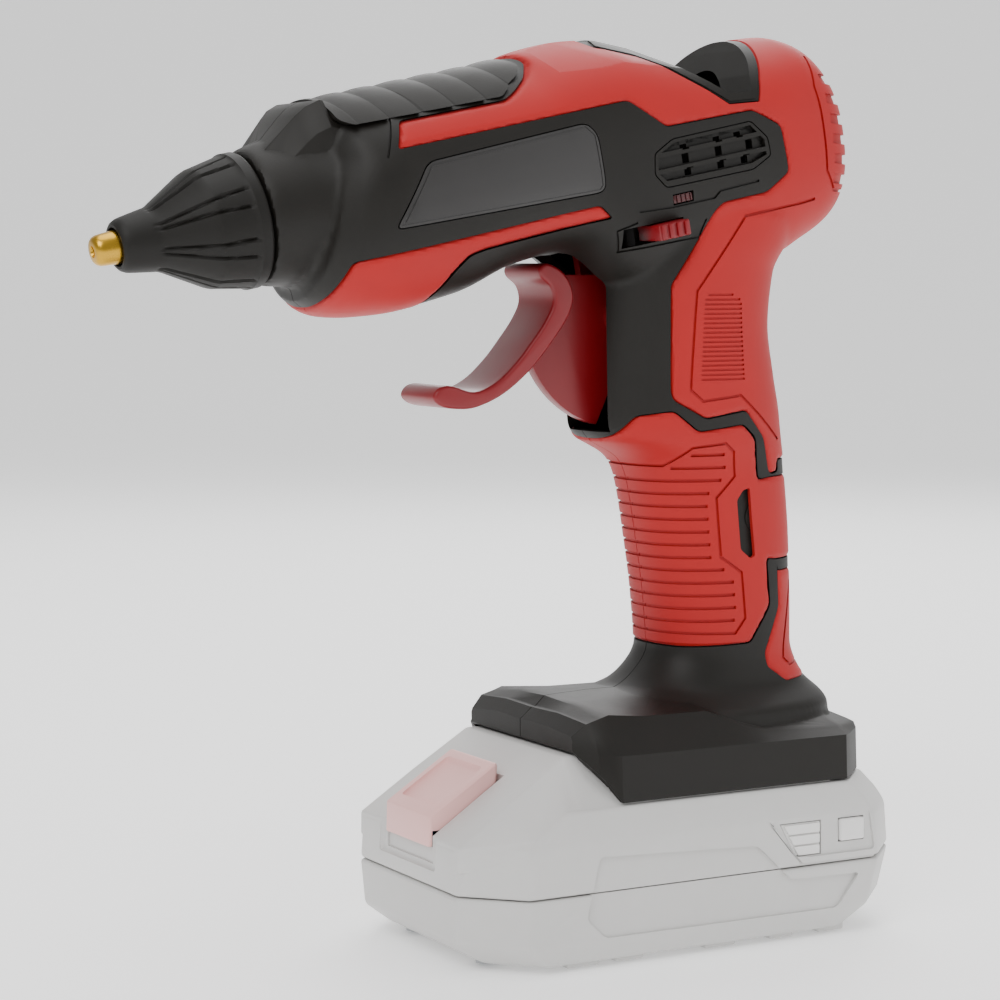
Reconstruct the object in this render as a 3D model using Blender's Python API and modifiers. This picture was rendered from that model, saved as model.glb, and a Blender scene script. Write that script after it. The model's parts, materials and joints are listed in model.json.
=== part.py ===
"""Cordless glue gun on a slide-on battery pack.

Row frame: the origin is the middle of the pack's underside, +Z is up, the nozzle points to -X
and the tool's left-hand side is -Y.  The barrel is tipped nose down, so everything on it is
laid out in its own side view, (u, v): u runs back from the nozzle's tip along the stick's
axis and v is the height above that axis.  Sizes are in millimetres and become metres when a
mesh is made.
"""

import bmesh
import bpy
from math import atan2, ceil, cos, hypot, pi, radians, sin
from mathutils import Matrix, Vector

MM = 0.001

# ---- driving dimensions, in millimetres and degrees --------------------------------------
GAP = 0.3                  # clearance between two pieces that meet
SKIN = 1.4                 # depth of the recess that a soft panel fills
WALL = 1.8                 # moulded wall behind that recess
TIP_X = -139.0             # nozzle tip
TIP_Z = 168.6
TILT = radians(11.3)       # barrel, nose down
BODY_HALF = 26.8           # half width of the barrel housing
BODY_REAR = 198.6          # rear end of the housing, along u
FRAME_HALF = 20.0          # half width behind the trigger
GRIP_HALF = 16.6           # half width of the grip
FOOT_BASE = 38.0           # height of the foot's lower edge
STICK_R = 5.6              # glue stick
GUIDE_R = STICK_R + 0.9    # bores that a stick runs through
CHAMBER_R = 9.0            # melt chamber, outside
PIVOT_X = -2.0             # trigger pivot
PIVOT_Z = 153.0
PIVOT_R = 2.0              # trigger pin
TRIGGER_HALF = 9.0         # half width of the finger lever
SLOT_HALF = 9.8            # half width of the slot behind the trigger
PEG_R = 2.0                # pegs that the trigger's forks push
KNOB_TRAVEL = 6.5          # power switch travel
CELL_R = 9.2               # 18650 cells, lying across the pack
CELL_LENGTH = 65.0
CELL_COUNT = 5
CELL_PITCH = 2 * CELL_R + 0.6
PACK_HALF = CELL_LENGTH / 2 + 5.5   # half width of the battery pack
FOOT_HALF = PACK_HALF - 5.0         # half width of the foot
PACK_SEAM = 18.3           # height of the seam between its two shells
PACK_REAR = 65.0
PACK_FRONT = PACK_REAR - CELL_COUNT * CELL_PITCH - 31.0
PACK_WALL = 2.4
BUTTON_TRAVEL = 3.5        # battery latch button
SCREW_R = 1.5
SCREW_HEAD_R = 2.9
RING = 16                  # points round a lofted section

SIDES = (("left", -1), ("right", 1))
FAR = 60.0                 # beyond every surface of the tool


# ---- scene and materials -----------------------------------------------------------------
for old in list(bpy.data.objects):
    bpy.data.objects.remove(old, do_unlink=True)


def collection(name):
    made = bpy.data.collections.new(name)
    bpy.context.scene.collection.children.link(made)
    return made


PARTS = collection("glue_gun")
CUTTERS = collection("cutters")


def finish(name, colour, roughness, metallic=0.0):
    made = bpy.data.materials.new(name)
    made.use_nodes = True
    shader = made.node_tree.nodes["Principled BSDF"]
    shader.inputs["Base Color"].default_value = (*colour, 1.0)
    shader.inputs["Roughness"].default_value = roughness
    shader.inputs["Metallic"].default_value = metallic
    made.diffuse_color = (*colour, 1.0)
    return made


BLACK = finish("black_plastic", (0.022, 0.020, 0.018), 0.5)
RED = finish("red_soft_grip", (0.56, 0.034, 0.028), 0.62)
DARK_RED = finish("red_trigger_plastic", (0.34, 0.014, 0.026), 0.35)
BRASS = finish("brass", (0.66, 0.42, 0.10), 0.28, 1.0)
ALUMINIUM = finish("aluminium", (0.72, 0.72, 0.73), 0.4, 1.0)
STEEL = finish("steel", (0.45, 0.45, 0.46), 0.35, 1.0)
RUBBER = finish("black_rubber", (0.018, 0.017, 0.016), 0.7)
SILICONE = finish("silicone", (0.55, 0.20, 0.12), 0.6)
CERAMIC = finish("ceramic", (0.80, 0.78, 0.72), 0.6)
BOARD = finish("circuit_board", (0.02, 0.15, 0.05), 0.5)
PACK_GREY = finish("pale_grey_plastic", (0.60, 0.60, 0.59), 0.5)
PACK_RED = finish("pale_red_plastic", (0.78, 0.56, 0.55), 0.5)
CELL_WRAP = finish("cell_wrap", (0.05, 0.20, 0.45), 0.4)
LENS = finish("red_lens", (0.35, 0.05, 0.05), 0.2)


# ---- shape tools -------------------------------------------------------------------------
def on_barrel(u, v):
    """(X, Z) of a point given in the barrel's side view."""
    return TIP_X + u * cos(TILT) - v * sin(TILT), TIP_Z + u * sin(TILT) + v * cos(TILT)


# Takes (u, y, v) to (X, Y, Z).
BARREL = Matrix(((cos(TILT), 0, -sin(TILT), TIP_X), (0, 1, 0, 0),
                 (sin(TILT), 0, cos(TILT), TIP_Z), (0, 0, 0, 1)))
ROW = Matrix.Identity(4)


def to_metres(frame):
    return Matrix.Scale(MM, 4) @ frame


def new_object(name, mesh, matrix=None):
    """A helper solid: it waits in the cutters' collection, out of the render."""
    made = bpy.data.objects.new(name, mesh)
    CUTTERS.objects.link(made)
    made.hide_render = True
    made.display_type = "WIRE"
    if matrix:
        mesh.transform(matrix)
    return made


def from_bmesh(name, shape, matrix):
    bmesh.ops.recalc_face_normals(shape, faces=shape.faces)
    mesh = bpy.data.meshes.new(name)
    shape.to_mesh(mesh)
    shape.free()
    return new_object(name, mesh, matrix)


def box(low, high, frame=ROW, name="box"):
    shape = bmesh.new()
    size = [b - a for a, b in zip(low, high)]
    middle = [(a + b) / 2 for a, b in zip(low, high)]
    place = Matrix.Translation(middle) @ Matrix.Diagonal((*size, 1))
    bmesh.ops.create_cube(shape, size=1, matrix=place)
    return from_bmesh(name, shape, to_metres(frame))


def rod(start, end, radius, frame=ROW, segments=20, name="rod"):
    """A cylinder from one point to another."""
    along = Vector(end) - Vector(start)
    middle = (Vector(start) + Vector(end)) / 2
    turn = along.to_track_quat("Z", "Y").to_matrix().to_4x4()
    shape = bmesh.new()
    bmesh.ops.create_cone(shape, cap_ends=True, segments=segments, radius1=radius, radius2=radius,
                          depth=along.length, matrix=Matrix.Translation(middle) @ turn)
    return from_bmesh(name, shape, to_metres(frame))


def turned(profile, frame=BARREL, steps=20, name="turned"):
    """A closed (u, radius) profile spun about the stick's axis."""
    mesh = bpy.data.meshes.new(name)
    points = [(radius, 0, u) for u, radius in profile]
    edges = [(i, (i + 1) % len(points)) for i in range(len(points))]
    mesh.from_pydata(points, edges, [])
    made = new_object(name, mesh)
    screw = made.modifiers.new("spin", "SCREW")
    screw.steps = steps
    screw.render_steps = steps
    screw.use_merge_vertices = True
    screw.merge_threshold = 0.0001
    baked(made)
    lie_down = Matrix(((0, 0, 1, 0), (0, 1, 0, 0), (-1, 0, 0, 0), (0, 0, 0, 1)))
    made.data.transform(to_metres(frame) @ lie_down)
    facing_out(made)
    return made


def welded(guide):
    """A curve turned into mesh data, with its caps joined on; the curve is removed."""
    mesh = bpy.data.meshes.new_from_object(guide.evaluated_get(bpy.context.evaluated_depsgraph_get()))
    bpy.data.objects.remove(guide)
    shape = bmesh.new()
    shape.from_mesh(mesh)
    bmesh.ops.remove_doubles(shape, verts=shape.verts, dist=0.001)
    return shape


def plate(outline, y_low, y_high, name="plate"):
    """A side-view outline, in (X, Z), made into a flat plate across the tool."""
    curve = bpy.data.curves.new(name, "CURVE")
    curve.dimensions = "2D"
    curve.fill_mode = "BOTH"
    curve.extrude = (y_high - y_low) / 2
    spline = curve.splines.new("POLY")
    spline.points.add(len(outline) - 1)
    for point, (x, z) in zip(spline.points, outline):
        point.co = (x, z, 0, 1)
    spline.use_cyclic_u = True
    guide = bpy.data.objects.new(name, curve)
    CUTTERS.objects.link(guide)
    shape = welded(guide)
    stand_up = Matrix(((1, 0, 0, 0), (0, 0, -1, (y_low + y_high) / 2), (0, 1, 0, 0), (0, 0, 0, 1)))
    return from_bmesh(name, shape, to_metres(stand_up))


def loft(rings, frame=ROW, name="loft"):
    """A closed skin through rings that all have the same number of points."""
    shape = bmesh.new()
    rows = [[shape.verts.new(point) for point in ring] for ring in rings]
    for near, far in zip(rows, rows[1:]):
        for i in range(len(near)):
            j = (i + 1) % len(near)
            shape.faces.new((near[i], near[j], far[j], far[i]))
    shape.faces.new(rows[0])
    shape.faces.new(rows[-1])
    return from_bmesh(name, shape, to_metres(frame))


def baked(made):
    """Applies an object's modifiers to its mesh."""
    graph = bpy.context.evaluated_depsgraph_get()
    mesh = bpy.data.meshes.new_from_object(made.evaluated_get(graph))
    made.modifiers.clear()
    made.data = mesh
    return made


def facing_out(made):
    shape = bmesh.new()
    shape.from_mesh(made.data)
    bmesh.ops.remove_doubles(shape, verts=shape.verts, dist=1e-6)
    bmesh.ops.recalc_face_normals(shape, faces=shape.faces)
    shape.to_mesh(made.data)
    shape.free()


def combine(made, other, operation):
    """One Boolean step.  The shells' many shallow cuts defeat the EXACT solver; every mesh is closed."""
    step = made.modifiers.new(operation.lower(), "BOOLEAN")
    step.operation = operation
    step.solver = "MANIFOLD"
    step.object = other
    return baked(made)


def cut(made, *tools):
    for tool in tools:
        combine(made, tool, "DIFFERENCE")
    return made


def join(made, *others):
    for other in others:
        combine(made, other, "UNION")
    return made


def common(made, other):
    return combine(made, other, "INTERSECT")


def copy_of(made, name="copy"):
    return new_object(name, made.data.copy())


def bevelled(made, width, segments=2, angle=35):
    bevel = made.modifiers.new("edge", "BEVEL")
    bevel.width = width * MM
    bevel.segments = segments
    bevel.limit_method = "ANGLE"
    bevel.angle_limit = radians(angle)
    return baked(made)


def part(name, made, material):
    """Moves a finished solid out of the cutters' collection and names it as a piece."""
    CUTTERS.objects.unlink(made)
    PARTS.objects.link(made)
    made.name = name
    made.data.name = name
    made.hide_render = False
    made.display_type = "TEXTURED"
    made.data.materials.clear()
    made.data.materials.append(material)
    made.data.shade_smooth()
    made.data.set_sharp_from_angle(angle=radians(35))
    return made


def inset(outline, distance):
    """The outline moved inward by a distance, with its corners mitred."""
    count = len(outline)
    pairs = zip(outline[-1:] + outline[:-1], outline)
    area = sum(a[0] * b[1] - b[0] * a[1] for a, b in pairs)
    turn = 1 if area > 0 else -1
    moved = []
    for i in range(count):
        before, here, after = outline[i - 1], outline[i], outline[(i + 1) % count]
        first = atan2(here[1] - before[1], here[0] - before[0]) + turn * pi / 2
        second = atan2(after[1] - here[1], after[0] - here[0]) + turn * pi / 2
        x, z = cos(first) + cos(second), sin(first) + sin(second)
        stretch = 2 * distance / max(x * x + z * z, 0.5)
        moved.append((here[0] + x * stretch, here[1] + z * stretch))
    return moved


def arc(centre, radius, start, end, count=8):
    turns = [radians(start + (end - start) * i / (count - 1)) for i in range(count)]
    return [(centre[0] + radius * cos(a), centre[1] + radius * sin(a)) for a in turns]


def barrel_outline(points):
    return [on_barrel(u, v) for u, v in points]


# ---- the outer form ----------------------------------------------------------------------
def power(value, exponent):
    return abs(value) ** exponent * (1 if value >= 0 else -1)


def egg(middle, up, down, half, upper, lower):
    """A section with its own height and squareness above and below its middle."""
    points = []
    for i in range(RING):
        a = 2 * pi * (i + 0.5) / RING
        squareness = 2 / (upper if sin(a) > 0 else lower)
        height = (up if sin(a) > 0 else down) * power(sin(a), squareness)
        points.append((half * power(cos(a), squareness), middle + height))
    return points


# u, middle, top, bottom, half width as a share of BODY_HALF, squareness above and below.
BODY_STATIONS = (
    (38.0, 0, 15.6, -15.6, 0.58, 2.0, 2.0),
    (43.0, 0, 16.8, -18.2, 0.66, 2.0, 2.1),
    (47.5, 0, 20.8, -22.6, 0.78, 2.0, 2.3),
    (52.0, 0, 23.8, -25.3, 0.89, 2.0, 2.5),
    (58.0, 0, 24.4, -26.7, 0.97, 2.1, 2.6),
    (68.0, 0, 24.4, -27.9, 1.00, 2.1, 2.7),
    (83.0, 0, 24.4, -27.4, 1.00, 2.1, 2.7),
    (99.0, 0, 24.4, -23.6, 1.00, 2.1, 2.7),
    (111.0, 0, 24.6, -23.0, 1.00, 2.1, 2.7),
    (119.0, 0, 26.7, -24.2, 1.00, 2.1, 2.7),
    (124.5, 0, 26.8, -36.0, 1.00, 2.1, 2.6),
    (132.0, 0, 26.4, -38.0, 1.00, 2.1, 2.6),
    (146.0, 0, 22.6, -38.0, 0.98, 2.1, 2.6),
    (160.0, 0, 19.7, -38.0, 0.95, 2.0, 2.6),
    (174.0, 0, 19.4, -36.5, 0.93, 2.0, 2.6),
    (183.0, -3, 19.2, -33.8, 0.90, 2.1, 2.5),
    (189.0, -5, 17.4, -31.6, 0.84, 2.2, 2.5),
    (193.5, -6, 13.4, -28.8, 0.73, 2.2, 2.5),
    (197.0, -8, 6.0, -24.0, 0.54, 2.2, 2.4),
    (BODY_REAR, -9, -2.0, -18.0, 0.32, 2.0, 2.0),
)
# Z, front X, rear X, half width, squareness.
HANDLE_STATIONS = (
    (54.0, 4.5, 48.0, GRIP_HALF + 0.6, 2.6),
    (70.0, 7.2, 46.8, GRIP_HALF, 2.5),
    (82.0, 6.3, 46.6, GRIP_HALF + 0.2, 2.5),
    (98.0, 3.9, 46.0, GRIP_HALF + 0.3, 2.5),
    (113.4, 0.9, 44.5, GRIP_HALF + 0.8, 2.5),
    (118.0, -1.0, 44.0, FRAME_HALF - 2.0, 2.5),
    (121.2, -6.0, 43.5, FRAME_HALF - 1.4, 2.5),
    (124.0, -10.6, 43.1, FRAME_HALF - 0.8, 2.5),
    (128.5, -12.5, 42.5, FRAME_HALF - 0.4, 2.5),
    (138.0, -12.5, 40.4, FRAME_HALF, 2.5),
    (152.0, -12.5, 38.0, FRAME_HALF + 1.0, 2.5),
    (164.0, -12.5, 39.0, FRAME_HALF + 2.2, 2.5),
    (171.0, -12.5, 43.0, FRAME_HALF + 3.0, 2.5),
    (178.0, -10.0, 47.0, FRAME_HALF + 3.4, 2.5),
)
# X, lower edge Z, half width there, side break Z, half width at the top edge, its Z, crown Z.
FOOT_STATIONS = (
    (-29.0, 49.7, FOOT_HALF - 7.0, 50.6, FOOT_HALF - 8.0, 53.0, 54.4),
    (-25.5, 45.4, FOOT_HALF - 2.0, 50.0, FOOT_HALF - 4.6, 54.6, 56.6),
    (-20.0, FOOT_BASE, FOOT_HALF, 49.4, FOOT_HALF - 4.2, 55.0, 58.6),
    (-4.0, FOOT_BASE, FOOT_HALF, 49.2, FOOT_HALF - 4.0, 53.6, 60.0),
    (14.0, FOOT_BASE, FOOT_HALF, 49.2, FOOT_HALF - 4.0, 53.0, 60.0),
    (24.0, FOOT_BASE, FOOT_HALF, 49.2, FOOT_HALF - 4.0, 51.4, 59.6),
    (46.0, FOOT_BASE, FOOT_HALF, 49.0, FOOT_HALF - 4.2, 50.5, 57.6),
    (52.5, FOOT_BASE, FOOT_HALF - 6.0, 48.6, FOOT_HALF - 9.0, 50.2, 53.6),
    (57.5, FOOT_BASE, FOOT_HALF - 11.0, 48.2, FOOT_HALF - 12.4, 49.4, 50.6),
)


def body_form(inward, first=0.0):
    """The barrel housing's form, shrunk by a depth all round; a hollow one starts at a place along u."""
    rings = []
    count = len(BODY_STATIONS)
    for i, (u, middle, top, bottom, share, upper, lower) in enumerate(BODY_STATIONS):
        if i == 0 and first:
            continue
        still_to_come = count - 1 - i
        u = min(max(u, first + 0.1 * i), BODY_REAR - inward - 0.4 * still_to_come)
        up = max(top - middle - inward, 1.0)
        down = max(middle - bottom - inward, 1.0)
        half = max(BODY_HALF * share - inward, 1.0)
        rings.append([(u, y, v) for y, v in egg(middle, up, down, half, upper, lower)])
    return loft(rings, BARREL, "body_form")


def handle_form(inward, floor=0.0):
    rings = []
    for z, front, rear, half, squareness in HANDLE_STATIONS:
        centre, reach = (front + rear) / 2, (rear - front) / 2 - inward
        section = egg(centre, reach, reach, half - inward, squareness, squareness)
        rings.append([(x, y, z) for y, x in section])
    if floor:
        rings.insert(0, [(x, y, floor) for x, y, z in rings[0]])
    return loft(rings, ROW, "handle_form")


def foot_form(inward, floor=0.0):
    """The foot's form; a hollow one runs down to a floor below its lower edge."""
    rings = []
    last = len(FOOT_STATIONS) - 1
    for i, (x, low, half, side, edge_half, edge, crown) in enumerate(FOOT_STATIONS):
        if inward:
            x += inward if i == 0 else -inward if i == last else 0
            low = floor
        top = [(edge_half, edge), (edge_half * 0.45, crown)]
        right = [(half, low), (half - 0.6, side)] + top
        right = [(y - inward, z if z == low else z - inward) for y, z in right]
        section = right + [(-y, z) for y, z in reversed(right)]
        rings.append([(x, y, z) for y, z in section])
    return loft(rings, ROW, "foot_form")


def tool_form(inward):
    return join(body_form(inward), handle_form(inward), foot_form(inward, FOOT_BASE - 8.0))


# Scoop behind the hump, where the stick is seen: hump's back, deck, and the hood's leaning mouth.
SCOOP_FLOOR = [(134.1, 25.8), (142.2, 22.1), (149.7, 15.4), (155.1, 11.0), (159.0, 7.4), (165.3, 6.8),
               (167.3, 10.4), (171.8, 16.4), (174.5, 19.6)]
SCOOP = [(132.0, 28.6)] + SCOOP_FLOOR + [(178.0, 24.5), (178.0, 42.0), (132.0, 42.0)]

# Panel outlines.  The barrel's are in (u, v); those of the handle are in (X, Z).
LABEL = [(73.5, 6.2), (116.6, 7.6), (119.0, 4.6), (119.1, -8.0), (117.6, -9.4), (62.4, -7.6)]
BELLY = [(52.8, -12.9), (117.4, -12.2), (120.6, -16.0), (85.9, -16.7), (81.7, -17.3), (78.3, -20.0),
         (73.5, -26.0), (72.5, -42.0), (47.6, -42.0), (47.6, -22.0)]
RIB_PAD = [(55.0, 18.6), (58.4, 16.5), (98.6, 16.3), (101.6, 18.6), (106.4, 21.0), (110.4, 24.0),
           (110.4, 42.0), (55.0, 42.0)]
VENT = [(133.4, -2.8), (139.1, -0.2), (163.0, 0.0), (167.4, -4.8), (167.8, -9.4), (162.0, -11.9),
        (135.6, -11.6), (132.6, -7.9)]
UPPER_IN_BARREL = [(66.9, 9.9), (129.5, 10.5), (138.2, 2.6), (164.1, 2.2), (171.6, -2.8), (172.6, -14.2),
                   (165.7, -17.9), (152.5, -17.9), (149.9, -19.2), (135.8, -35.1), (135.3, -38.8),
                   (131.9, -61.5), (132.7, -63.5)]
UPPER_IN_ROW = [(12.5, 127.8), (24.6, 129.6), (29.6, 124.6), (31.4, 117.0), (33.6, 117.4), (84.0, 117.4),
                (84.0, 246.0)]
UPPER_TOP = [(111.6, 60.0), (111.6, 23.4), (107.6, 20.2), (102.6, 17.8), (99.6, 15.2), (70.4, 15.2)]
GRIP = [(-9.7, 123.6), (-5.6, 129.4), (3.4, 130.3), (10.5, 125.0), (23.8, 126.5), (28.0, 123.2),
        (29.6, 113.8), (33.6, 114.2), (84.0, 114.2), (84.0, 92.0), (35.4, 92.0), (33.6, 91.4), (34.6, 80.4),
        (28.2, 71.2), (10.1, 70.7), (-30.0, 72.4), (-30.0, 119.6), (-13.0, 119.6)]
GRIP_WINDOW = [(24.4, 108.0), (25.6, 110.0), (26.8, 110.4), (28.8, 93.2), (27.6, 92.8), (25.7, 94.6)]
HEEL = [(37.6, 89.4), (84.0, 89.4), (84.0, 61.0), (39.0, 61.0), (34.0, 65.0), (33.4, 68.3), (38.0, 79.4)]


def upper_outline():
    return (barrel_outline(UPPER_IN_BARREL) + UPPER_IN_ROW + barrel_outline(UPPER_TOP))


# ---- housing and its panels --------------------------------------------------------------
outer = tool_form(0.0)
cut(outer, plate(barrel_outline(SCOOP), -FAR, FAR, "scoop_cutter"))
panel_bed = tool_form(SKIN)
panel_back = tool_form(SKIN - GAP)
hollow = join(body_form(SKIN + WALL, 46.0),
              handle_form(SKIN + WALL, FOOT_BASE - 8.0), foot_form(SKIN + WALL, FOOT_BASE - 8.0))

PEG_V = -13.0
PIVOT_U = (PIVOT_X - TIP_X) * cos(TILT) + (PIVOT_Z - TIP_Z) * sin(TILT)
PIVOT_V = (PIVOT_Z - TIP_Z) * cos(TILT) - (PIVOT_X - TIP_X) * sin(TILT)
WEB_R = 27.5

SLOT_FLOOR = PIVOT_Z - WEB_R - 0.6
trigger_slot = join(box((-20.0, -SLOT_HALF, SLOT_FLOOR), (2.0, SLOT_HALF, 176.0)),
                    box((-24.5, -SLOT_HALF, 165.0), (-10.0, SLOT_HALF, 177.0)))
chamber_way = turned([(30.0, 0.0), (30.0, CHAMBER_R + 2.5), (60.0, CHAMBER_R + 2.5), (60.0, 0.0)])
stick_way = turned([(180.0, 0.0), (180.0, GUIDE_R), (210.0, GUIDE_R), (210.0, 0.0)])
# The pack's rails and latch face slide in under the foot from the front.
foot_mouth = box((-40.0, -FOOT_HALF + 8.0, 30.0), (-15.0, FOOT_HALF - 8.0, 49.6))

KNOB_U = 135.0
KNOB_V = -21.5
KNOB_HALF_U = 4.5
KNOB_HALF_V = 1.9
knob_slot = box((KNOB_U - KNOB_HALF_U - KNOB_TRAVEL - 0.5, -FAR, KNOB_V - KNOB_HALF_V - 0.4),
                (KNOB_U + KNOB_HALF_U + 0.5, -15.0, KNOB_V + KNOB_HALF_V + 0.4), BARREL)
LED_LOW = (137.5, -25.0, -15.7)
LED_HIGH = (143.0, -21.0, -13.7)
led_hole = box((LED_LOW[0] - GAP, -FAR, LED_LOW[2] - GAP),
               (LED_HIGH[0] + GAP, -18.0, LED_HIGH[2] + GAP), BARREL)

# Screws go in from the right and bite in bosses on the left half.
SCREWS = [on_barrel(64.0, -20.0), on_barrel(122.0, 14.8), on_barrel(172.0, -22.0), on_barrel(150.0, -29.0),
          (8.0, 131.0), (30.0, 103.0), (20.0, 64.5), (51.0, 45.0)]
SCREW_HEADS = [18.5, 18.5, 15.5, 15.0, 11.0, 9.0, 9.0, 12.0]
SCREW_END = -9.0            # y of the screws' ends
BOSS_R = 3.6
HEAD_BOSS_R = 4.4           # bosses that take a screw's head
SEAM_STEP = 0.1             # panels start this far from the middle plane


def screw_clearance(place, head):
    x, z = place
    well = rod((x, head - 0.2, z), (x, FAR, z), SCREW_HEAD_R + GAP, segments=10)
    return join(well, rod((x, -GAP, z), (x, head, z), SCREW_R + GAP, segments=8))


wells = [screw_clearance(*each) for each in zip(SCREWS, SCREW_HEADS)]

PANELS = (
    ("upper_panel", upper_outline(), RED),
    ("belly_panel", barrel_outline(BELLY), RED),
    ("grip", GRIP, RED),
    ("heel_pad", HEEL, RED),
    ("label_plate", barrel_outline(LABEL), BLACK),
    ("vent_grille", barrel_outline(VENT), BLACK),
)
VENT_ROWS = (-2.6, -5.9, -9.2)
VENT_COLUMNS = (138.4, 144.4, 150.4, 156.4, 162.0)


def vent_slots(low, high):
    """Air slots through the grille, in rows between its long bars."""
    slots = []
    for row in VENT_ROWS:
        for column in VENT_COLUMNS:
            slots.append(box((column - 2.2, low, row - 0.95), (column + 2.2, high, row + 0.95), BARREL))
    return slots


def pivot_boss(side):
    """A tube on the inside of one half that holds the trigger's pin."""
    inner, reach = side * 10.2, side * 30.0
    tube = rod((PIVOT_X, inner, PIVOT_Z), (PIVOT_X, reach, PIVOT_Z), PIVOT_R + 2.2, segments=10)
    return common(tube, panel_back)


def half_space(side, gap=GAP / 2):
    low, high = sorted((side * gap, side * FAR * 2))
    return box((-400, low, -100), (400, high, 400))


housing = cut(copy_of(outer), cut(plate(barrel_outline(RIB_PAD), -FAR, FAR, "rib_pad_recess"), panel_bed))
cut(housing, hollow)


def housing_half(name, side):
    half = common(copy_of(housing), half_space(side))
    join(half, pivot_boss(side))
    boss_radius = BOSS_R if side < 0 else HEAD_BOSS_R
    for x, z in SCREWS:
        boss = rod((x, side * FAR, z), (x, side * GAP / 2, z), boss_radius, segments=8)
        join(half, common(boss, panel_back))
    for label, outline, _ in PANELS:
        low, high = sorted((side * SEAM_STEP, side * FAR))
        recess = plate(outline, low, high, label + "_recess")
        cut(half, cut(recess, panel_bed))
    open_vent = plate(inset(barrel_outline(VENT), 2.0), *sorted((side * 15.0, side * FAR)))
    cut(half, open_vent, trigger_slot, chamber_way, stick_way, foot_mouth)
    pin_low, pin_high = sorted((side * 5.0, side * 13.8))
    cut(half, rod((PIVOT_X, pin_low, PIVOT_Z), (PIVOT_X, pin_high, PIVOT_Z), PIVOT_R + 0.1, segments=20))
    if side < 0:
        cut(half, knob_slot, led_hole)
        for x, z in SCREWS:
            cut(half, rod((x, SCREW_END - 0.6, z), (x, 5.0, z), SCREW_R + 0.1, segments=8))
    else:
        cut(half, *wells)
    return part(name, half, BLACK)


def soft_panel(name, outline, side):
    low, high = sorted((side * (SEAM_STEP + GAP), side * FAR))
    zone = plate(inset(outline, GAP), low, high, name + "_zone")
    piece = cut(common(zone, outer), panel_back, stick_way)
    if side > 0:
        cut(piece, *wells)
    return piece


for word, side in SIDES:
    housing_half("housing_" + word, side)
for label, outline, material in PANELS:
    for word, side in SIDES:
        piece = soft_panel(label, outline, side)
        if label == "grip":
            low, high = sorted((side * 8.0, side * FAR))
            cut(piece, plate(GRIP_WINDOW, low, high))
        if label == "vent_grille":
            cut(piece, *vent_slots(*sorted((side * 15.0, side * FAR))))
        part(label + "_" + word, piece, material)

pad_zone = plate(inset(barrel_outline(RIB_PAD), GAP), -FAR, FAR, "rib_pad_zone")
part("rib_pad", cut(common(pad_zone, outer), panel_back), BLACK)


def inlet_liner():
    """Black sheet that closes the scoop, with a window over the stick and a round way into the hood."""
    thickness = 2.0
    under = []
    for i, (u, v) in enumerate(SCOOP_FLOOR):
        before = SCOOP_FLOOR[max(i - 1, 0)]
        after = SCOOP_FLOOR[min(i + 1, len(SCOOP_FLOOR) - 1)]
        du, dv = after[0] - before[0], after[1] - before[1]
        length = hypot(du, dv)
        under.append((u + dv / length * thickness, v - du / length * thickness))
    sheet = plate(barrel_outline(SCOOP_FLOOR + under[::-1]), -FAR, FAR, "liner_sheet")
    common(sheet, body_form(SKIN + WALL + GAP, 46.0))
    window = box((151.5, -GUIDE_R, -5.0), (163.6, GUIDE_R, 9.6), BARREL)
    eye = turned([(160.0, 0.0), (160.0, 12.6), (182.0, 12.6), (182.0, 0.0)])
    return cut(sheet, window, cut(eye, box((150.0, -20.0, -20.0), (184.0, 20.0, 8.6), BARREL)))


part("inlet_liner", inlet_liner(), BLACK)

for number, ((x, z), head) in enumerate(zip(SCREWS, SCREW_HEADS), 1):
    top = rod((x, head, z), (x, head + 2.2, z), SCREW_HEAD_R, segments=10)
    join(top, rod((x, SCREW_END, z), (x, head + 0.4, z), SCREW_R, segments=8))
    cut(top, rod((x, head + 1.2, z), (x, head + 4.0, z), 1.3, segments=6))
    part("housing_screw_%d" % number, top, STEEL)


# ---- nozzle, melt chamber and heater -----------------------------------------------------
part("nozzle_tip", turned([(0.0, 1.2), (0.0, 2.2), (0.7, 3.2), (1.6, 3.6), (5.2, 3.9), (9.0, 3.9), (9.0, 1.9),
                           (3.0, 1.0)]), BRASS)
part("nozzle_boot", turned([(5.4, 4.4), (5.4, 5.3), (7.2, 6.3), (14.0, 7.4), (25.7, 13.9), (35.2, 15.8),
                            (37.6, 15.8), (37.6, 13.0), (25.7, 11.6), (14.0, 5.6), (9.0, 4.4)]), RUBBER)
part("melt_chamber", turned([(9.4, 1.9), (9.4, 3.6), (14.0, 4.6), (26.0, CHAMBER_R), (76.0, CHAMBER_R),
                             (76.0, 6.1), (24.0, 6.1), (15.0, 2.4)]), ALUMINIUM)
part("chamber_sleeve", turned([(76.4, STICK_R + 0.2), (76.4, 8.4), (94.0, 8.4), (94.0, STICK_R + 0.2)]),
     SILICONE)
part("heater", box((48.0, -7.0, -12.6), (69.0, 7.0, -CHAMBER_R - 0.4), BARREL), CERAMIC)


def heater_clamp():
    band = box((53.0, -11.4, -14.4), (60.0, 11.4, 11.0), BARREL)
    return cut(band, box((52.0, -10.0, -13.0), (61.0, 10.0, 9.6), BARREL))


part("heater_clamp", heater_clamp(), STEEL)
holder = turned([(70.0, CHAMBER_R + GAP), (70.0, 19.0), (73.0, 19.0), (73.0, CHAMBER_R + GAP)])
part("chamber_holder", holder, CERAMIC)


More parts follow.
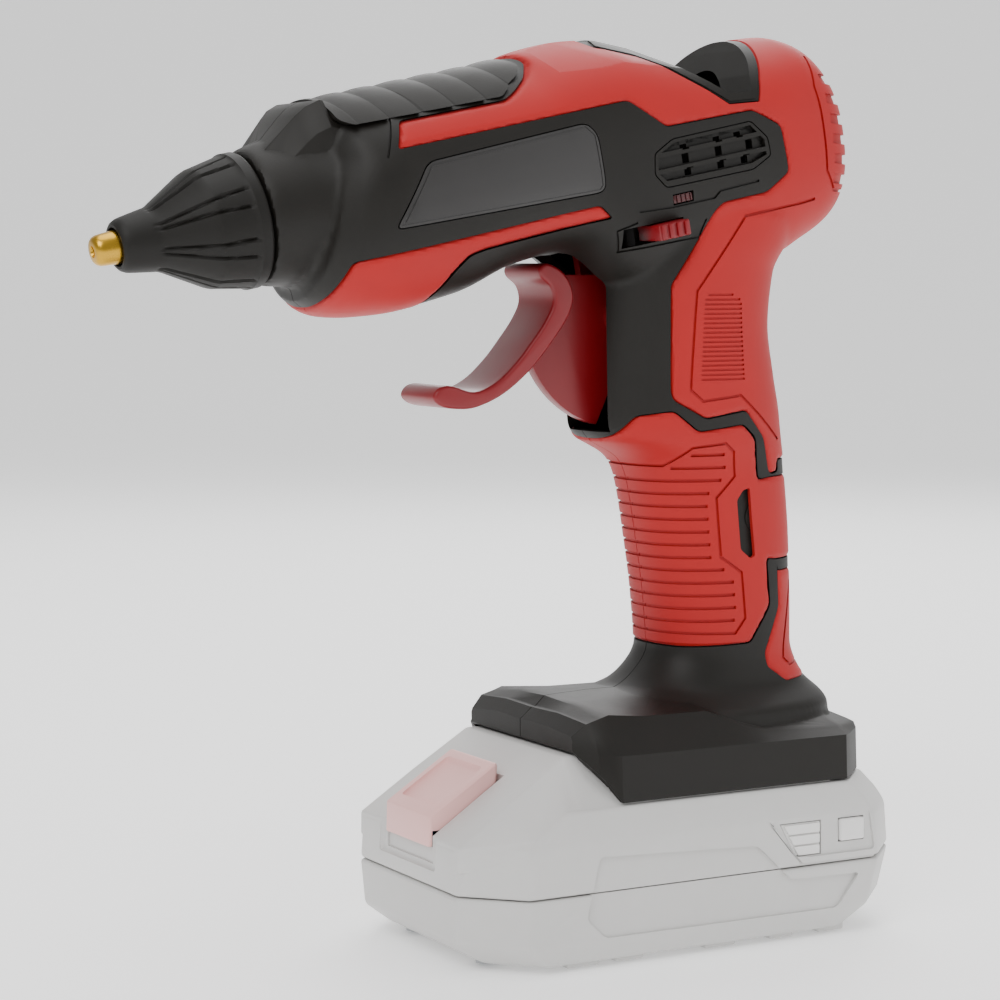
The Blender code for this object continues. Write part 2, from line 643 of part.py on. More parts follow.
# ---- trigger and feed --------------------------------------------------------------------
LEVER = [(-57.6, 134.4), (-56.6, 136.2), (-51.9, 137.2), (-46.4, 135.4), (-40.4, 137.9), (-34.9, 142.6),
         (-27.1, 152.2), (-24.8, 157.1), (-26.2, 162.0), (-29.6, 164.6), (-26.5, 166.0), (-21.6, 163.8),
         (-19.1, 158.3), (-20.6, 153.4), (-31.1, 140.5), (-38.4, 134.8), (-45.9, 131.6), (-53.0, 131.6)]
FORK_IN = 6.4
FORK_OUT = 8.9
HUB_R = 4.6


def trigger():
    lever = bevelled(plate(LEVER, -TRIGGER_HALF, TRIGGER_HALF), 1.0, 2, 25)
    web = plate(arc((PIVOT_X, PIVOT_Z), WEB_R, 207, 249, 7) + [(PIVOT_X, PIVOT_Z), (-22.0, 153.0)], -1.6, 1.6)
    beam = plate([(-22.5, 161.0), (-22.5, 151.5), (PIVOT_X, 149.5), (PIVOT_X, 156.6)], -6.0, 6.0)
    hub = rod((PIVOT_X, -FORK_OUT, PIVOT_Z), (PIVOT_X, FORK_OUT, PIVOT_Z), HUB_R, segments=24)
    join(lever, web, beam, hub)
    for side in (-1, 1):
        low, high = sorted((side * FORK_IN, side * FORK_OUT))
        arm = box((PIVOT_U - 4.2, low, PIVOT_V), (PIVOT_U + 4.2, high, PEG_V + 4.4), BARREL)
        fork = box((PIVOT_U - 2.6, low - 1, PEG_V - 5.0), (PIVOT_U + 2.6, high + 1, PEG_V + 6), BARREL)
        join(lever, cut(arm, fork))
    return cut(lever, rod((PIVOT_X, -20, PIVOT_Z), (PIVOT_X, 20, PIVOT_Z), PIVOT_R + 0.06, segments=24))


part("trigger", trigger(), DARK_RED)
part("trigger_pin", rod((PIVOT_X, -13.4, PIVOT_Z), (PIVOT_X, 13.4, PIVOT_Z), PIVOT_R, segments=24), STEEL)

CARRIAGE_U = PIVOT_U - 6.0
CARRIAGE_LENGTH = 14.0


def feed_carriage():
    u = CARRIAGE_U
    ring = rod((u, 0, 0), (u + CARRIAGE_LENGTH, 0, 0), STICK_R + 3.9, BARREL, 24)
    lug = box((u + 2.0, -5.6, PEG_V - 3.0), (u + 10.0, 5.6, -6.0), BARREL)
    pegs = rod((PIVOT_U, -9.3, PEG_V), (PIVOT_U, 9.3, PEG_V), PEG_R, BARREL, 16)
    join(ring, lug, pegs)
    return cut(ring, rod((u - 5, 0, 0), (u + 30, 0, 0), GUIDE_R, BARREL, 24))


part("feed_carriage", feed_carriage(), BLACK)
JAW_U = CARRIAGE_U - 4.6


def feed_jaw():
    steel = box((JAW_U, -9.0, -12.0), (JAW_U + 2.4, 9.0, 9.4), BARREL)
    return cut(steel, rod((JAW_U - 3, 0, 0), (JAW_U + 6, 0, 0), GUIDE_R + 0.7, BARREL, 24))


part("feed_jaw", feed_jaw(), STEEL)


def coil(centre_line, radius, wire, turns, frame, name, per_turn=12):
    """A round-wire compression spring from one point to another."""
    start, end = Vector(centre_line[0]), Vector(centre_line[1])
    along = (end - start).normalized()
    across = along.orthogonal().normalized()
    other = along.cross(across)
    curve = bpy.data.curves.new(name, "CURVE")
    curve.dimensions = "3D"
    curve.bevel_depth = wire
    curve.bevel_resolution = 1
    curve.use_fill_caps = True
    spline = curve.splines.new("POLY")
    count = ceil(turns * per_turn) + 1
    spline.points.add(count - 1)
    for i, point in enumerate(spline.points):
        share = i / (count - 1)
        a = 2 * pi * turns * share
        place = start.lerp(end, share) + radius * (across * cos(a) + other * sin(a))
        point.co = (*place, 1)
    guide = bpy.data.objects.new(name, curve)
    CUTTERS.objects.link(guide)
    return from_bmesh(name, welded(guide), to_metres(frame))


part("return_spring", coil(((95.2, 0, 0), (JAW_U - 1.2, 0, 0)), 8.0, 0.5, 5,
                           BARREL, "return_spring", 8), STEEL)


# ---- switch, lamp and electronics --------------------------------------------------------
def switch_knob():
    low = (KNOB_U - KNOB_HALF_U, -26.4, KNOB_V - KNOB_HALF_V)
    high = (KNOB_U + KNOB_HALF_U, -17.6, KNOB_V + KNOB_HALF_V)
    knob = box(low, high, BARREL)
    for i in range(4):
        u = KNOB_U - 3.0 + 2.0 * i
        cut(knob, box((u - 0.4, -27.0, KNOB_V - 3), (u + 0.4, -25.9, KNOB_V + 3), BARREL))
    foot = box((KNOB_U - 2.6, -18.6, KNOB_V - 1.9), (KNOB_U + 7.5, -17.2, KNOB_V + 3.2), BARREL)
    return join(knob, foot)


part("switch_knob", switch_knob(), DARK_RED)
part("switch_body", box((KNOB_U - 5.0, -16.8, KNOB_V - 4.0),
                        (KNOB_U + 8.0, -10.2, KNOB_V + 4.0), BARREL), BLACK)
part("led_lens", box(LED_LOW, LED_HIGH, BARREL), LENS)
part("circuit_board", box((18.0, -10.4, 76.0), (34.0, -8.8, 96.0)), BOARD)
BLOCK_HALF = 16.8 - WALL
part("terminal_block", box((WALL - 1.8, -BLOCK_HALF, 48.4), (31.8 - WALL, BLOCK_HALF, 54.8 - WALL)), BLACK)


# ---- battery pack ------------------------------------------------------------------------
# Z, front X, rear X, half width, corner chamfer.
BASE_STATIONS = (
    (0.0, PACK_FRONT + 9.0, PACK_REAR - 12.0, PACK_HALF - 4.5, 11.0),
    (1.6, PACK_FRONT + 6.0, PACK_REAR - 9.0, PACK_HALF - 2.4, 12.0),
    (7.0, PACK_FRONT + 0.4, PACK_REAR - 2.4, PACK_HALF - 0.8, 13.0),
    (PACK_SEAM - GAP / 2, PACK_FRONT, PACK_REAR, PACK_HALF, 13.0),
)
TOP_STATIONS = (
    (PACK_SEAM + GAP / 2, PACK_FRONT, PACK_REAR, PACK_HALF, 13.0),
    (30.0, PACK_FRONT + 0.8, PACK_REAR - 0.8, PACK_HALF - 1.0, 13.0),
    (33.0, PACK_FRONT + 6.0, PACK_REAR - 2.4, PACK_HALF - 2.4, 13.0),
    (FOOT_BASE - GAP, PACK_FRONT + 16.0, PACK_REAR - 6.4, FOOT_HALF, 12.0),
)


def tray(stations, inward=0.0, low=None, high=None):
    """A chamfered tray form through plan outlines at several heights."""
    rings = []
    for z, front, rear, half, chamfer in stations:
        front, rear, half = front + inward, rear - inward, half - inward
        plan = [(front + chamfer, -half), (rear - chamfer, -half), (rear, chamfer - half)]
        plan += [(x, -y) for x, y in reversed(plan)]
        plan += [(front, half - chamfer), (front, chamfer - half)]
        rings.append([(x, y, z) for x, y in plan])
    if low is not None:
        rings[0] = [(x, y, low) for x, y, z in rings[0]]
    if high is not None:
        rings[-1] = [(x, y, high) for x, y, z in rings[-1]]
    return loft(rings, ROW, "tray")


BUTTON_HALF = 11.4
RAMP = [(PACK_FRONT + 1.0, 30.0), (-31.0, 49.3), (-12.0, 49.3), (-10.0, 47.4), (42.0, 47.4), (42.0, 34.0),
        (PACK_FRONT + 8.0, 34.0), (PACK_FRONT + 4.0, 26.0)]
BUTTON = [(PACK_FRONT + 0.2, 27.6), (PACK_FRONT + 0.4, 35.4), (-41.8, 46.9), (-43.4, 35.4), (-50.0, 30.0),
          (-50.0, 27.6)]
SPRING_X = PACK_FRONT + 8.5
SPRING_LOW = PACK_SEAM + 2.8
CELL_Z = PACK_WALL + CELL_R + 0.5
CELL_FIRST = PACK_REAR - PACK_WALL - CELL_R - 13.2


def pack_top():
    shell = tray(TOP_STATIONS)
    ramp = plate(RAMP, -FOOT_HALF + 8.6, FOOT_HALF - 8.6)
    join(shell, ramp)
    inside = [(z, *rest) for z, *rest in TOP_STATIONS[:3]]
    cut(shell, tray(inside, PACK_WALL, PACK_SEAM - 5.0, 31.0))
    well = plate(inset(BUTTON, -GAP), -BUTTON_HALF - GAP, BUTTON_HALF + GAP)
    room = box((PACK_FRONT + 3.0, -BUTTON_HALF - GAP, 22.0), (-43.0 + GAP, BUTTON_HALF + GAP, 34.0))
    slide_room = plate([(x, z - BUTTON_TRAVEL) for x, z in BUTTON], -BUTTON_HALF - GAP, BUTTON_HALF + GAP)
    cut(shell, well, room, slide_room)
    seat = box((PACK_FRONT + 1.0, -5.0, SPRING_LOW - 2.4), (SPRING_X + 5.0, 5.0, SPRING_LOW - GAP))
    return join(shell, seat)


def pack_base():
    shell = tray(BASE_STATIONS)
    cut(shell, tray(BASE_STATIONS[1:], PACK_WALL, PACK_WALL, PACK_SEAM + 5.0))
    return shell


# X, Y and the height of the head's seat.
PACK_SCREWS = [(PACK_FRONT + 12.4, -18.0, 2.2), (PACK_FRONT + 12.4, 18.0, 2.2),
               (PACK_REAR - 7.0, -16.0, 8.6), (PACK_REAR - 7.0, 16.0, 8.6)]
PACK_SCREW_TOP = 27.0


def standing_rod(x, y, low, high, radius, segments=8):
    return rod((x, y, low), (x, y, high), radius, segments=segments)


def with_screw_posts(shell, form, upper):
    """Posts for the pack's screws: clearance holes and head wells below the seam, pilot holes above."""
    for x, y, seat in PACK_SCREWS:
        low, high = (PACK_SEAM + GAP / 2, 31.0) if upper else (seat - 2.4, PACK_SEAM - GAP / 2)
        join(shell, common(standing_rod(x, y, low, high, SCREW_R + 2.0), form))
        bore = SCREW_R + 0.1 if upper else SCREW_R + GAP
        cut(shell, standing_rod(x, y, seat - 1, PACK_SCREW_TOP + 1, bore))
        if not upper:
            cut(shell, standing_rod(x, y, -5.0, seat, SCREW_HEAD_R + GAP))
    return shell


GAUGE_LOW, GAUGE_HIGH = (23.0, -PACK_HALF + 0.5, 21.0), (35.0, -PACK_HALF + 2.3, 29.0)
CHARGE_LOW, CHARGE_HIGH = (40.6, -PACK_HALF + 0.4, 23.6), (47.8, -PACK_HALF + 4.6, 29.0)


def widened(low, high, by):
    """A box cutter round a piece, long enough to run out through the side wall."""
    return box((low[0] - by, low[1] - 9.0, low[2] - by), (high[0] + by, high[1] + 0.2, high[2] + by))


part("pack_base", with_screw_posts(pack_base(), tray(BASE_STATIONS), False), PACK_GREY)
upper_shell = with_screw_posts(pack_top(), tray(TOP_STATIONS), True)
cut(upper_shell, widened(GAUGE_LOW, GAUGE_HIGH, GAP), widened(CHARGE_LOW, CHARGE_HIGH, GAP))
part("pack_top", upper_shell, PACK_GREY)
part("charge_gauge", box(GAUGE_LOW, GAUGE_HIGH), PACK_GREY)
part("charge_button", box(CHARGE_LOW, CHARGE_HIGH), PACK_GREY)
for number, (x, y, seat) in enumerate(PACK_SCREWS, 1):
    screw = join(standing_rod(x, y, seat - 2.0, seat - 0.1, SCREW_HEAD_R),
                 standing_rod(x, y, seat - 0.4, PACK_SCREW_TOP, SCREW_R))
    cut(screw, standing_rod(x, y, seat - 4.0, seat - 1.0, 1.3, 6))
    part("pack_screw_%d" % number, screw, STEEL)
part("pack_button", bevelled(plate(BUTTON, -BUTTON_HALF, BUTTON_HALF), 0.8, 2), PACK_RED)
part("pack_spring", coil(((SPRING_X, 0, SPRING_LOW + 0.4), (SPRING_X, 0, BUTTON[0][1] - 0.8)), 3.2, 0.4, 3,
                         ROW, "pack_spring", 8), STEEL)

for number in range(CELL_COUNT):
    x = CELL_FIRST - number * CELL_PITCH
    part("cell_%d" % (number + 1), rod((x, -CELL_LENGTH / 2, CELL_Z), (x, CELL_LENGTH / 2, CELL_Z), CELL_R,
                                       segments=20), CELL_WRAP)
part("pack_board", box((-20.0, -24.0, 25.0), (50.0, 24.0, 26.6)), BOARD)
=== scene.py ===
# %% [markdown]
# # A cordless glue gun
# The gun is two moulded shells with soft red skins let into them, a cone nose with a brass tip,
# a finger trigger and a battery pack.  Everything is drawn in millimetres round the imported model,
# which stays as the fixed frame, and turned into metres when a mesh is made.

# %% Load the frame
import json
from math import atan2, cos, pi, radians, sin

import bmesh
import bpy
import numpy as np
from mathutils import Matrix, Vector
from mathutils.bvhtree import BVHTree


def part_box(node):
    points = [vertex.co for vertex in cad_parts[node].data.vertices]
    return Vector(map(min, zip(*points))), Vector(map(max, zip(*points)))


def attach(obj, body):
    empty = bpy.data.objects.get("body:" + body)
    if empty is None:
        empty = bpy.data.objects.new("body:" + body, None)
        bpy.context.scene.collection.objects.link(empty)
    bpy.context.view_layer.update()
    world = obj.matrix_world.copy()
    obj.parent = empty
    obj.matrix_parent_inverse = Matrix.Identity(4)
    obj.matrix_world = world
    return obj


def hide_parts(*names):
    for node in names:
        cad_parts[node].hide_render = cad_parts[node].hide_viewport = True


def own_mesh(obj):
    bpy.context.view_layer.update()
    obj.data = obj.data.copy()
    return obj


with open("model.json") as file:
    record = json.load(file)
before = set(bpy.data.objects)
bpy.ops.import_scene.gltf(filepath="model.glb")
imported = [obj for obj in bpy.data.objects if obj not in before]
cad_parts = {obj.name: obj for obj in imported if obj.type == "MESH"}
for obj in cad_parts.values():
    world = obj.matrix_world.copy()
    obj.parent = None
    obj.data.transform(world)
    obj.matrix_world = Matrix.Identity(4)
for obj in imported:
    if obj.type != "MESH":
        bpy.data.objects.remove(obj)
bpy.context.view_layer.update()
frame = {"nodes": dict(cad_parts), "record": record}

MM = 0.001

# %% [markdown]
# ## The two drawing boards
# The barrel points nose down, so what sits on it is drawn as (u, v): u runs back from the tip along
# the stick and v stands above it.  Handle, foot and pack are drawn upright as (X, Z).

# %% Barrel and upright coordinates
TILT = radians(11.3)
TIP = (-139.0, 168.6)
BARREL = Matrix(((cos(TILT), 0, -sin(TILT), TIP[0]), (0, 1, 0, 0),
                 (sin(TILT), 0, cos(TILT), TIP[1]), (0, 0, 0, 1)))
ROW = Matrix.Identity(4)
SIDES = (("left", -1), ("right", 1))
FAR = 60.0  # past the tool's flank
SEAM_GAP = 0.12  # from the middle plane to each half


def on_barrel(points):
    """(u, v) points as (X, Z) points."""
    return [(TIP[0] + u * cos(TILT) - v * sin(TILT), TIP[1] + u * sin(TILT) + v * cos(TILT))
            for u, v in points]


print("nose drops", round(200 * sin(TILT)), "mm over the barrel's length")

# %% [markdown]
# ## Small solid tools
# Each tool returns a closed mesh, so that pieces can be cut and joined like real stock.  The
# MANIFOLD solver is used because it stays quick on meshes with a hundred thousand faces.

# %% Boxes, rods, plates, lofts and turned shapes
def linked(name, data):
    """A new object in the scene that shows a mesh, a light or a camera."""
    made = bpy.data.objects.new(name, data)
    bpy.context.scene.collection.objects.link(made)
    return made


def mesh_of(name, shape):
    mesh = bpy.data.meshes.new(name)
    shape.to_mesh(mesh)
    shape.free()
    return mesh


def solid(name, shape, matrix=ROW):
    """Turns a bmesh in millimetres into an object in metres."""
    bmesh.ops.recalc_face_normals(shape, faces=shape.faces)
    mesh = mesh_of(name, shape)
    mesh.transform(Matrix.Scale(MM, 4) @ matrix)
    return linked(name, mesh)


def box(low, high, matrix=ROW):
    shape = bmesh.new()
    middle = [(a + b) / 2 for a, b in zip(low, high)]
    size = [b - a for a, b in zip(low, high)]
    bmesh.ops.create_cube(shape, size=1, matrix=Matrix.Translation(middle) @ Matrix.Diagonal((*size, 1)))
    return solid("box", shape, matrix)


def rod(start, end, radius, matrix=ROW, segments=48):
    along = Vector(end) - Vector(start)
    place = Matrix.Translation((Vector(start) + Vector(end)) / 2)
    turn = along.to_track_quat("Z", "Y").to_matrix().to_4x4()
    shape = bmesh.new()
    bmesh.ops.create_cone(shape, cap_ends=True, segments=segments, radius1=radius, radius2=radius,
                          depth=along.length, matrix=place @ turn)
    return solid("rod", shape, matrix)


def skin(rings, matrix=ROW, closed=False, name="loft"):
    """A surface through rings of points; the ends are capped unless the rings close on themselves."""
    shape = bmesh.new()
    rows = [[shape.verts.new(point) for point in ring] for ring in rings]
    pairs = list(zip(rows, rows[1:])) + ([(rows[-1], rows[0])] if closed else [])
    for near, far in pairs:
        for i in range(len(near)):
            j = (i + 1) % len(near)
            shape.faces.new((near[i], near[j], far[j], far[i]))
    if not closed:
        shape.faces.new(rows[0])
        shape.faces.new(rows[-1])
    return solid(name, shape, matrix)


def turned(profile, steps=96, matrix=BARREL, relief=None):
    """A closed (u, radius) outline spun about the stick's axis; relief(u, turn) lowers the skin."""
    rings = []
    for k in range(steps):
        turn = 2 * pi * k / steps
        ring = []
        for u, radius in profile:
            depth = relief(u, turn) if relief and radius > 5.0 else 0.0
            ring.append((u, (radius - depth) * cos(turn), (radius - depth) * sin(turn)))
        rings.append(ring)
    return skin(rings, matrix, closed=True)


def plate(outline, low, high):
    """A flat (X, Z) outline made into a plate across the tool, from y low to y high."""
    shape = bmesh.new()
    low, high = min(low, high), max(low, high)
    near = [shape.verts.new((x, low, z)) for x, z in outline]
    far = [shape.verts.new((x, high, z)) for x, z in outline]
    shape.faces.new(near)
    shape.faces.new(far)
    for i in range(len(near)):
        j = (i + 1) % len(near)
        shape.faces.new((near[i], near[j], far[j], far[i]))
    bmesh.ops.triangulate(shape, faces=shape.faces, ngon_method="EAR_CLIP")
    return solid("plate", shape)


def through(outline):
    """A plate that passes right through the tool."""
    return plate(outline, -FAR, FAR)


def one_side(side, near=SEAM_GAP, far=FAR):
    """A block over everything on one side of the middle plane."""
    low, high = sorted((side * near, side * far))
    return box((-300, low, -20), (300, high, 400))


print("solid tools ready")


# %% Cutting, joining and grouping
def baked(made):
    graph = bpy.context.evaluated_depsgraph_get()
    old = made.data
    made.data = bpy.data.meshes.new_from_object(made.evaluated_get(graph))
    made.modifiers.clear()
    bpy.data.meshes.remove(old)
    return made


def combine(made, other, operation, keep=False):
    step = made.modifiers.new("step", "BOOLEAN")
    step.operation = operation
    step.solver = "MANIFOLD"
    step.object = other
    baked(made)
    if not keep:
        bpy.data.objects.remove(other)
    return made


def cut(made, *tools):
    for tool in tools:
        combine(made, tool, "DIFFERENCE")
    return made


def join(made, *others):
    for other in others:
        combine(made, other, "UNION")
    return made


def common(made, other):
    return combine(made, other, "INTERSECT")


def copy_of(made):
    return linked(made.name, made.data.copy())


def group(solids):
    """Separate solids gathered in one mesh, so that they cut in a single step."""
    shape = bmesh.new()
    for each in solids:
        shape.from_mesh(each.data)
        bpy.data.objects.remove(each)
    return linked("group", mesh_of("group", shape))


def bevelled(made, width, segments=3, angle=30):
    edge = made.modifiers.new("edge", "BEVEL")
    edge.width = width * MM
    edge.segments = segments
    edge.limit_method = "ANGLE"
    edge.angle_limit = radians(angle)
    return baked(made)


print("Boolean tools ready")


# %% Outlines: inset, rounded corners, strips and spans
def inset(outline, distance):
    """The outline moved inward, its corners mitred."""
    count = len(outline)
    area = sum(a[0] * b[1] - b[0] * a[1] for a, b in zip(outline[-1:] + outline[:-1], outline))
    turn = 1 if area > 0 else -1
    moved = []
    for i in range(count):
        before, here, after = outline[i - 1], outline[i], outline[(i + 1) % count]
        first = atan2(here[1] - before[1], here[0] - before[0]) + turn * pi / 2
        second = atan2(after[1] - here[1], after[0] - here[0]) + turn * pi / 2
        x, z = cos(first) + cos(second), sin(first) + sin(second)
        stretch = 2 * distance / max(x * x + z * z, 0.5)
        moved.append((here[0] + x * stretch, here[1] + z * stretch))
    return moved


def softened(outline, radius, steps=4):
    """The outline with each corner replaced by a short curve."""
    points = []
    for i, here in enumerate(outline):
        here = Vector(here)
        before, after = Vector(outline[i - 1]), Vector(outline[(i + 1) % len(outline)])
        start = here + (before - here).normalized() * min(radius, (before - here).length * 0.4)
        end = here + (after - here).normalized() * min(radius, (after - here).length * 0.4)
        for k in range(steps + 1):
            t = k / steps
            points.append(tuple(start * (1 - t) ** 2 + here * 2 * t * (1 - t) + end * t * t))
    return points


def strip(line, width):
    """A band along an open line."""
    sides = []
    for sign in (1, -1):
        side = []
        for i, here in enumerate(line):
            before, after = Vector(line[max(i - 1, 0)]), Vector(line[min(i + 1, len(line) - 1)])
            here = Vector(here)
            normals = [Vector((-d.y, d.x)).normalized() for d in (here - before, after - here) if d.length]
            normal = sum(normals, Vector((0, 0)))
            side.append(tuple(here + normal * (sign * width / max(normal.length_squared, 0.3)
                                               * (1 if len(normals) == 2 else 0.5))))
        sides.append(side)
    return sides[0] + sides[1][::-1]


def span(outline, level):
    """Where a level line enters and leaves an outline."""
    hits = []
    for (xa, za), (xb, zb) in zip(outline[-1:] + outline[:-1], outline):
        if (za - level) * (zb - level) < 0:
            hits.append(xa + (xb - xa) * (level - za) / (zb - za))
    return (min(hits), max(hits)) if hits else None


print("outline tools ready")

# %% [markdown]
# ## The gun's outer form
# A moulded shell has no flat stock to cut from.  Its form is a few sections that swell and shrink
# along the barrel and down the handle.  The sections between them come from a curve that never
# overshoots, then all the lofts are fused and remeshed evenly, so that the joints blend as the
# moulder's fillets do and later cuts find plenty of points.

# %% Sections along the barrel and the handle
BODY_HALF = 26.6
# u, middle, top, bottom, half width as a share, squareness above and below.
BODY = ((43.0, 0, 18.5, -19.4, 0.74, 2.1, 2.3), (47.5, 0, 21.4, -23.0, 0.84, 2.1, 2.4),
        (52.0, 0, 23.0, -25.6, 0.92, 2.1, 2.5), (58.0, 0, 23.4, -27.0, 0.97, 2.1, 2.6),
        (68.0, 0, 23.6, -27.9, 1.00, 2.2, 2.7), (83.0, 0, 23.8, -27.2, 1.00, 2.2, 2.7),
        (99.0, 0, 24.0, -23.6, 1.00, 2.2, 2.7), (109.0, 0, 24.4, -23.0, 1.00, 2.2, 2.7),
        (114.5, 0, 26.0, -24.0, 1.00, 2.2, 2.7), (124.5, 0, 26.6, -34.0, 1.00, 2.2, 2.6),
        (132.0, 0, 26.0, -37.5, 1.00, 2.2, 2.6), (146.0, 0, 22.6, -37.5, 0.98, 2.1, 2.6),
        (160.0, 0, 19.4, -37.5, 0.95, 2.0, 2.6), (174.0, 0, 19.0, -36.5, 0.93, 2.0, 2.6),
        (183.0, -3, 18.6, -33.8, 0.90, 2.1, 2.5), (189.0, -5, 16.6, -31.6, 0.84, 2.2, 2.5),
        (193.5, -6, 12.8, -28.8, 0.73, 2.2, 2.5), (197.0, -8, 5.6, -24.0, 0.54, 2.2, 2.4),
        (198.4, -9, -2.0, -18.0, 0.32, 2.0, 2.0))
# Z, front X, rear X, half width.
HANDLE = ((49.0, -24.0, 57.6, 27.0), (55.0, -22.0, 57.0, 26.6), (58.0, -10.0, 55.0, 22.5),
          (61.0, -1.0, 51.5, 18.6), (64.5, 3.6, 49.0, 17.2),
          (68.0, 6.4, 47.4, 16.6), (70.0, 7.2, 46.8, 16.6), (82.0, 6.3, 46.6, 16.8),
          (98.0, 3.9, 46.0, 16.9), (113.4, 0.9, 44.5, 17.3), (118.0, -1.6, 44.0, 17.9),
          (120.6, -6.0, 43.5, 18.6), (122.6, -10.0, 43.3, 19.0), (125.6, -12.3, 42.9, 19.3),
          (129.0, -12.6, 42.4, 19.6), (138.0, -12.6, 40.4, 20.0), (152.0, -12.6, 38.0, 21.0),
          (164.0, -12.6, 39.0, 22.2), (171.0, -12.6, 43.0, 23.0), (178.0, -10.0, 47.0, 23.4))


def between(rows, step):
    """Rows filled in at an even step by a cubic that never overshoots."""
    table = np.array(rows, dtype=float)
    place = table[:, 0]
    slope = np.diff(table, axis=0) / np.diff(place)[:, None]
    product = slope[:-1] * slope[1:]
    total = slope[:-1] + slope[1:]
    mean = np.where(product > 0, 2 * product / np.where(total == 0, 1, total), 0)
    tangent = np.vstack([slope[:1], mean, slope[-1:]])
    at = np.append(np.arange(place[0], place[-1], step), place[-1])
    i = np.clip(np.searchsorted(place, at, side="right") - 1, 0, len(place) - 2)
    h = (place[i + 1] - place[i])[:, None]
    t = (at - place[i])[:, None] / h
    return ((2 * t ** 3 - 3 * t ** 2 + 1) * table[i] + (t ** 3 - 2 * t ** 2 + t) * h * tangent[i]
            + (3 * t ** 2 - 2 * t ** 3) * table[i + 1] + (t ** 3 - t ** 2) * h * tangent[i + 1])


def egg(middle, up, down, half, upper, lower, count=96):
    """A section with its own height and squareness above and below its middle."""
    points = []
    for i in range(count):
        a = 2 * pi * i / count
        squareness = 2 / (upper if sin(a) > 0 else lower)
        reach = up if sin(a) > 0 else down
        points.append((half * np.sign(cos(a)) * abs(cos(a)) ** squareness,
                       middle + reach * np.sign(sin(a)) * abs(sin(a)) ** squareness))
    return points


CHEEK = ((-30.0, 40.5), (-21.7, 43.8), (9.7, 55.3), (17.5, 55.0), (30.0, 54.5))
CHEEK_END = 72.0


def barrel_shell():
    """The shell behind the cheek line: its front edge leans, and is bevelled by the first ring."""
    heights, edges = zip(*CHEEK)
    rows = between(BODY, 1.5)
    first = BODY[0][0]
    rings = []
    for index, (u, middle, top, bottom, share, upper, lower) in enumerate(rows):
        shrink = 3.2 if index == 0 else 0.0
        section = egg(middle, top - middle - shrink, middle - bottom - shrink,
                      BODY_HALF * share - shrink, upper, lower)
        ring = []
        for y, v in section:
            lead = np.interp(v, heights, edges)
            ahead = lead + (u - first) * (CHEEK_END - lead) / (CHEEK_END - first)
            place = ahead if u < CHEEK_END else u
            ring.append((place, y, v))
        rings.append(ring)
    return skin(rings, BARREL)


def neck():
    """The round collar that the nose screws on to, running back into the shell."""
    rows = between(((38.2, 15.5, 15.5), (39.0, 16.0, 16.0), (43.0, 16.9, 16.9), (50.0, 18.4, 18.0),
                    (62.0, 21.5, 20.0), (70.0, 21.0, 19.0)), 1.0)
    return skin([[(u, y, v) for y, v in egg(0, high, high, half, 2, 2)] for u, half, high in rows], BARREL)


def brow(grow=0.0):
    """The wedge that climbs from the collar to the front of the ribbed pad."""
    rows = ((42.0, 10.5, 7.0, 14.6), (50.6, 13.5, 9.5, 21.4), (53.0, 14.5, 10.5, 23.0),
            (56.5, 15.5, 11.5, 24.0), (60.0, 15.5, 11.5, 22.8), (76.0, 15.5, 11.5, 21.5))
    rows = [(u - grow, low + grow, high + grow, top + grow) for u, low, high, top in rows]
    rings = [[(u, -low, 8.0), (u, low, 8.0), (u, low, top - 6.5), (u, high, top), (u, -high, top),
              (u, -low, top - 6.5)] for u, low, high, top in rows]
    return bevelled(skin(rings, BARREL), 0.6 if grow else 1.0, 2)


def hump_facet(side):
    """What is planed off each flank of the hump, so that it has a flat beside its ridge."""
    (ya, va), (yb, vb) = (3.0, 26.4), (18.5, 19.9)
    slope = (vb - va) / (yb - ya)
    ends = [(112.0, 3.4), (116.0, 0.0), (134.0, -0.4), (150.0, -4.6), (156.0, -3.0)]
    rings = []
    for u, shift in ends:
        corners = [(ya - 3.0, va - 3.0 * slope), (yb + 6.0, vb + 6.0 * slope), (yb + 6.0, FAR),
                   (ya - 3.0, FAR)]
        rings.append([(u, side * y, v + shift) for y, v in corners])
    return skin(rings, BARREL)


def handle_shell():
    rings = []
    for z, front, rear, half in between(HANDLE, 1.5):
        reach = (rear - front) / 2
        section = egg((front + rear) / 2, reach, reach, half, 2.5, 2.5)
        rings.append([(x, y, z) for y, x in section])
    return skin(rings, ROW)


print(len(BODY), "barrel sections,", len(HANDLE), "handle sections")

# %% Facets of the foot
FOOT_BASE = 38.0
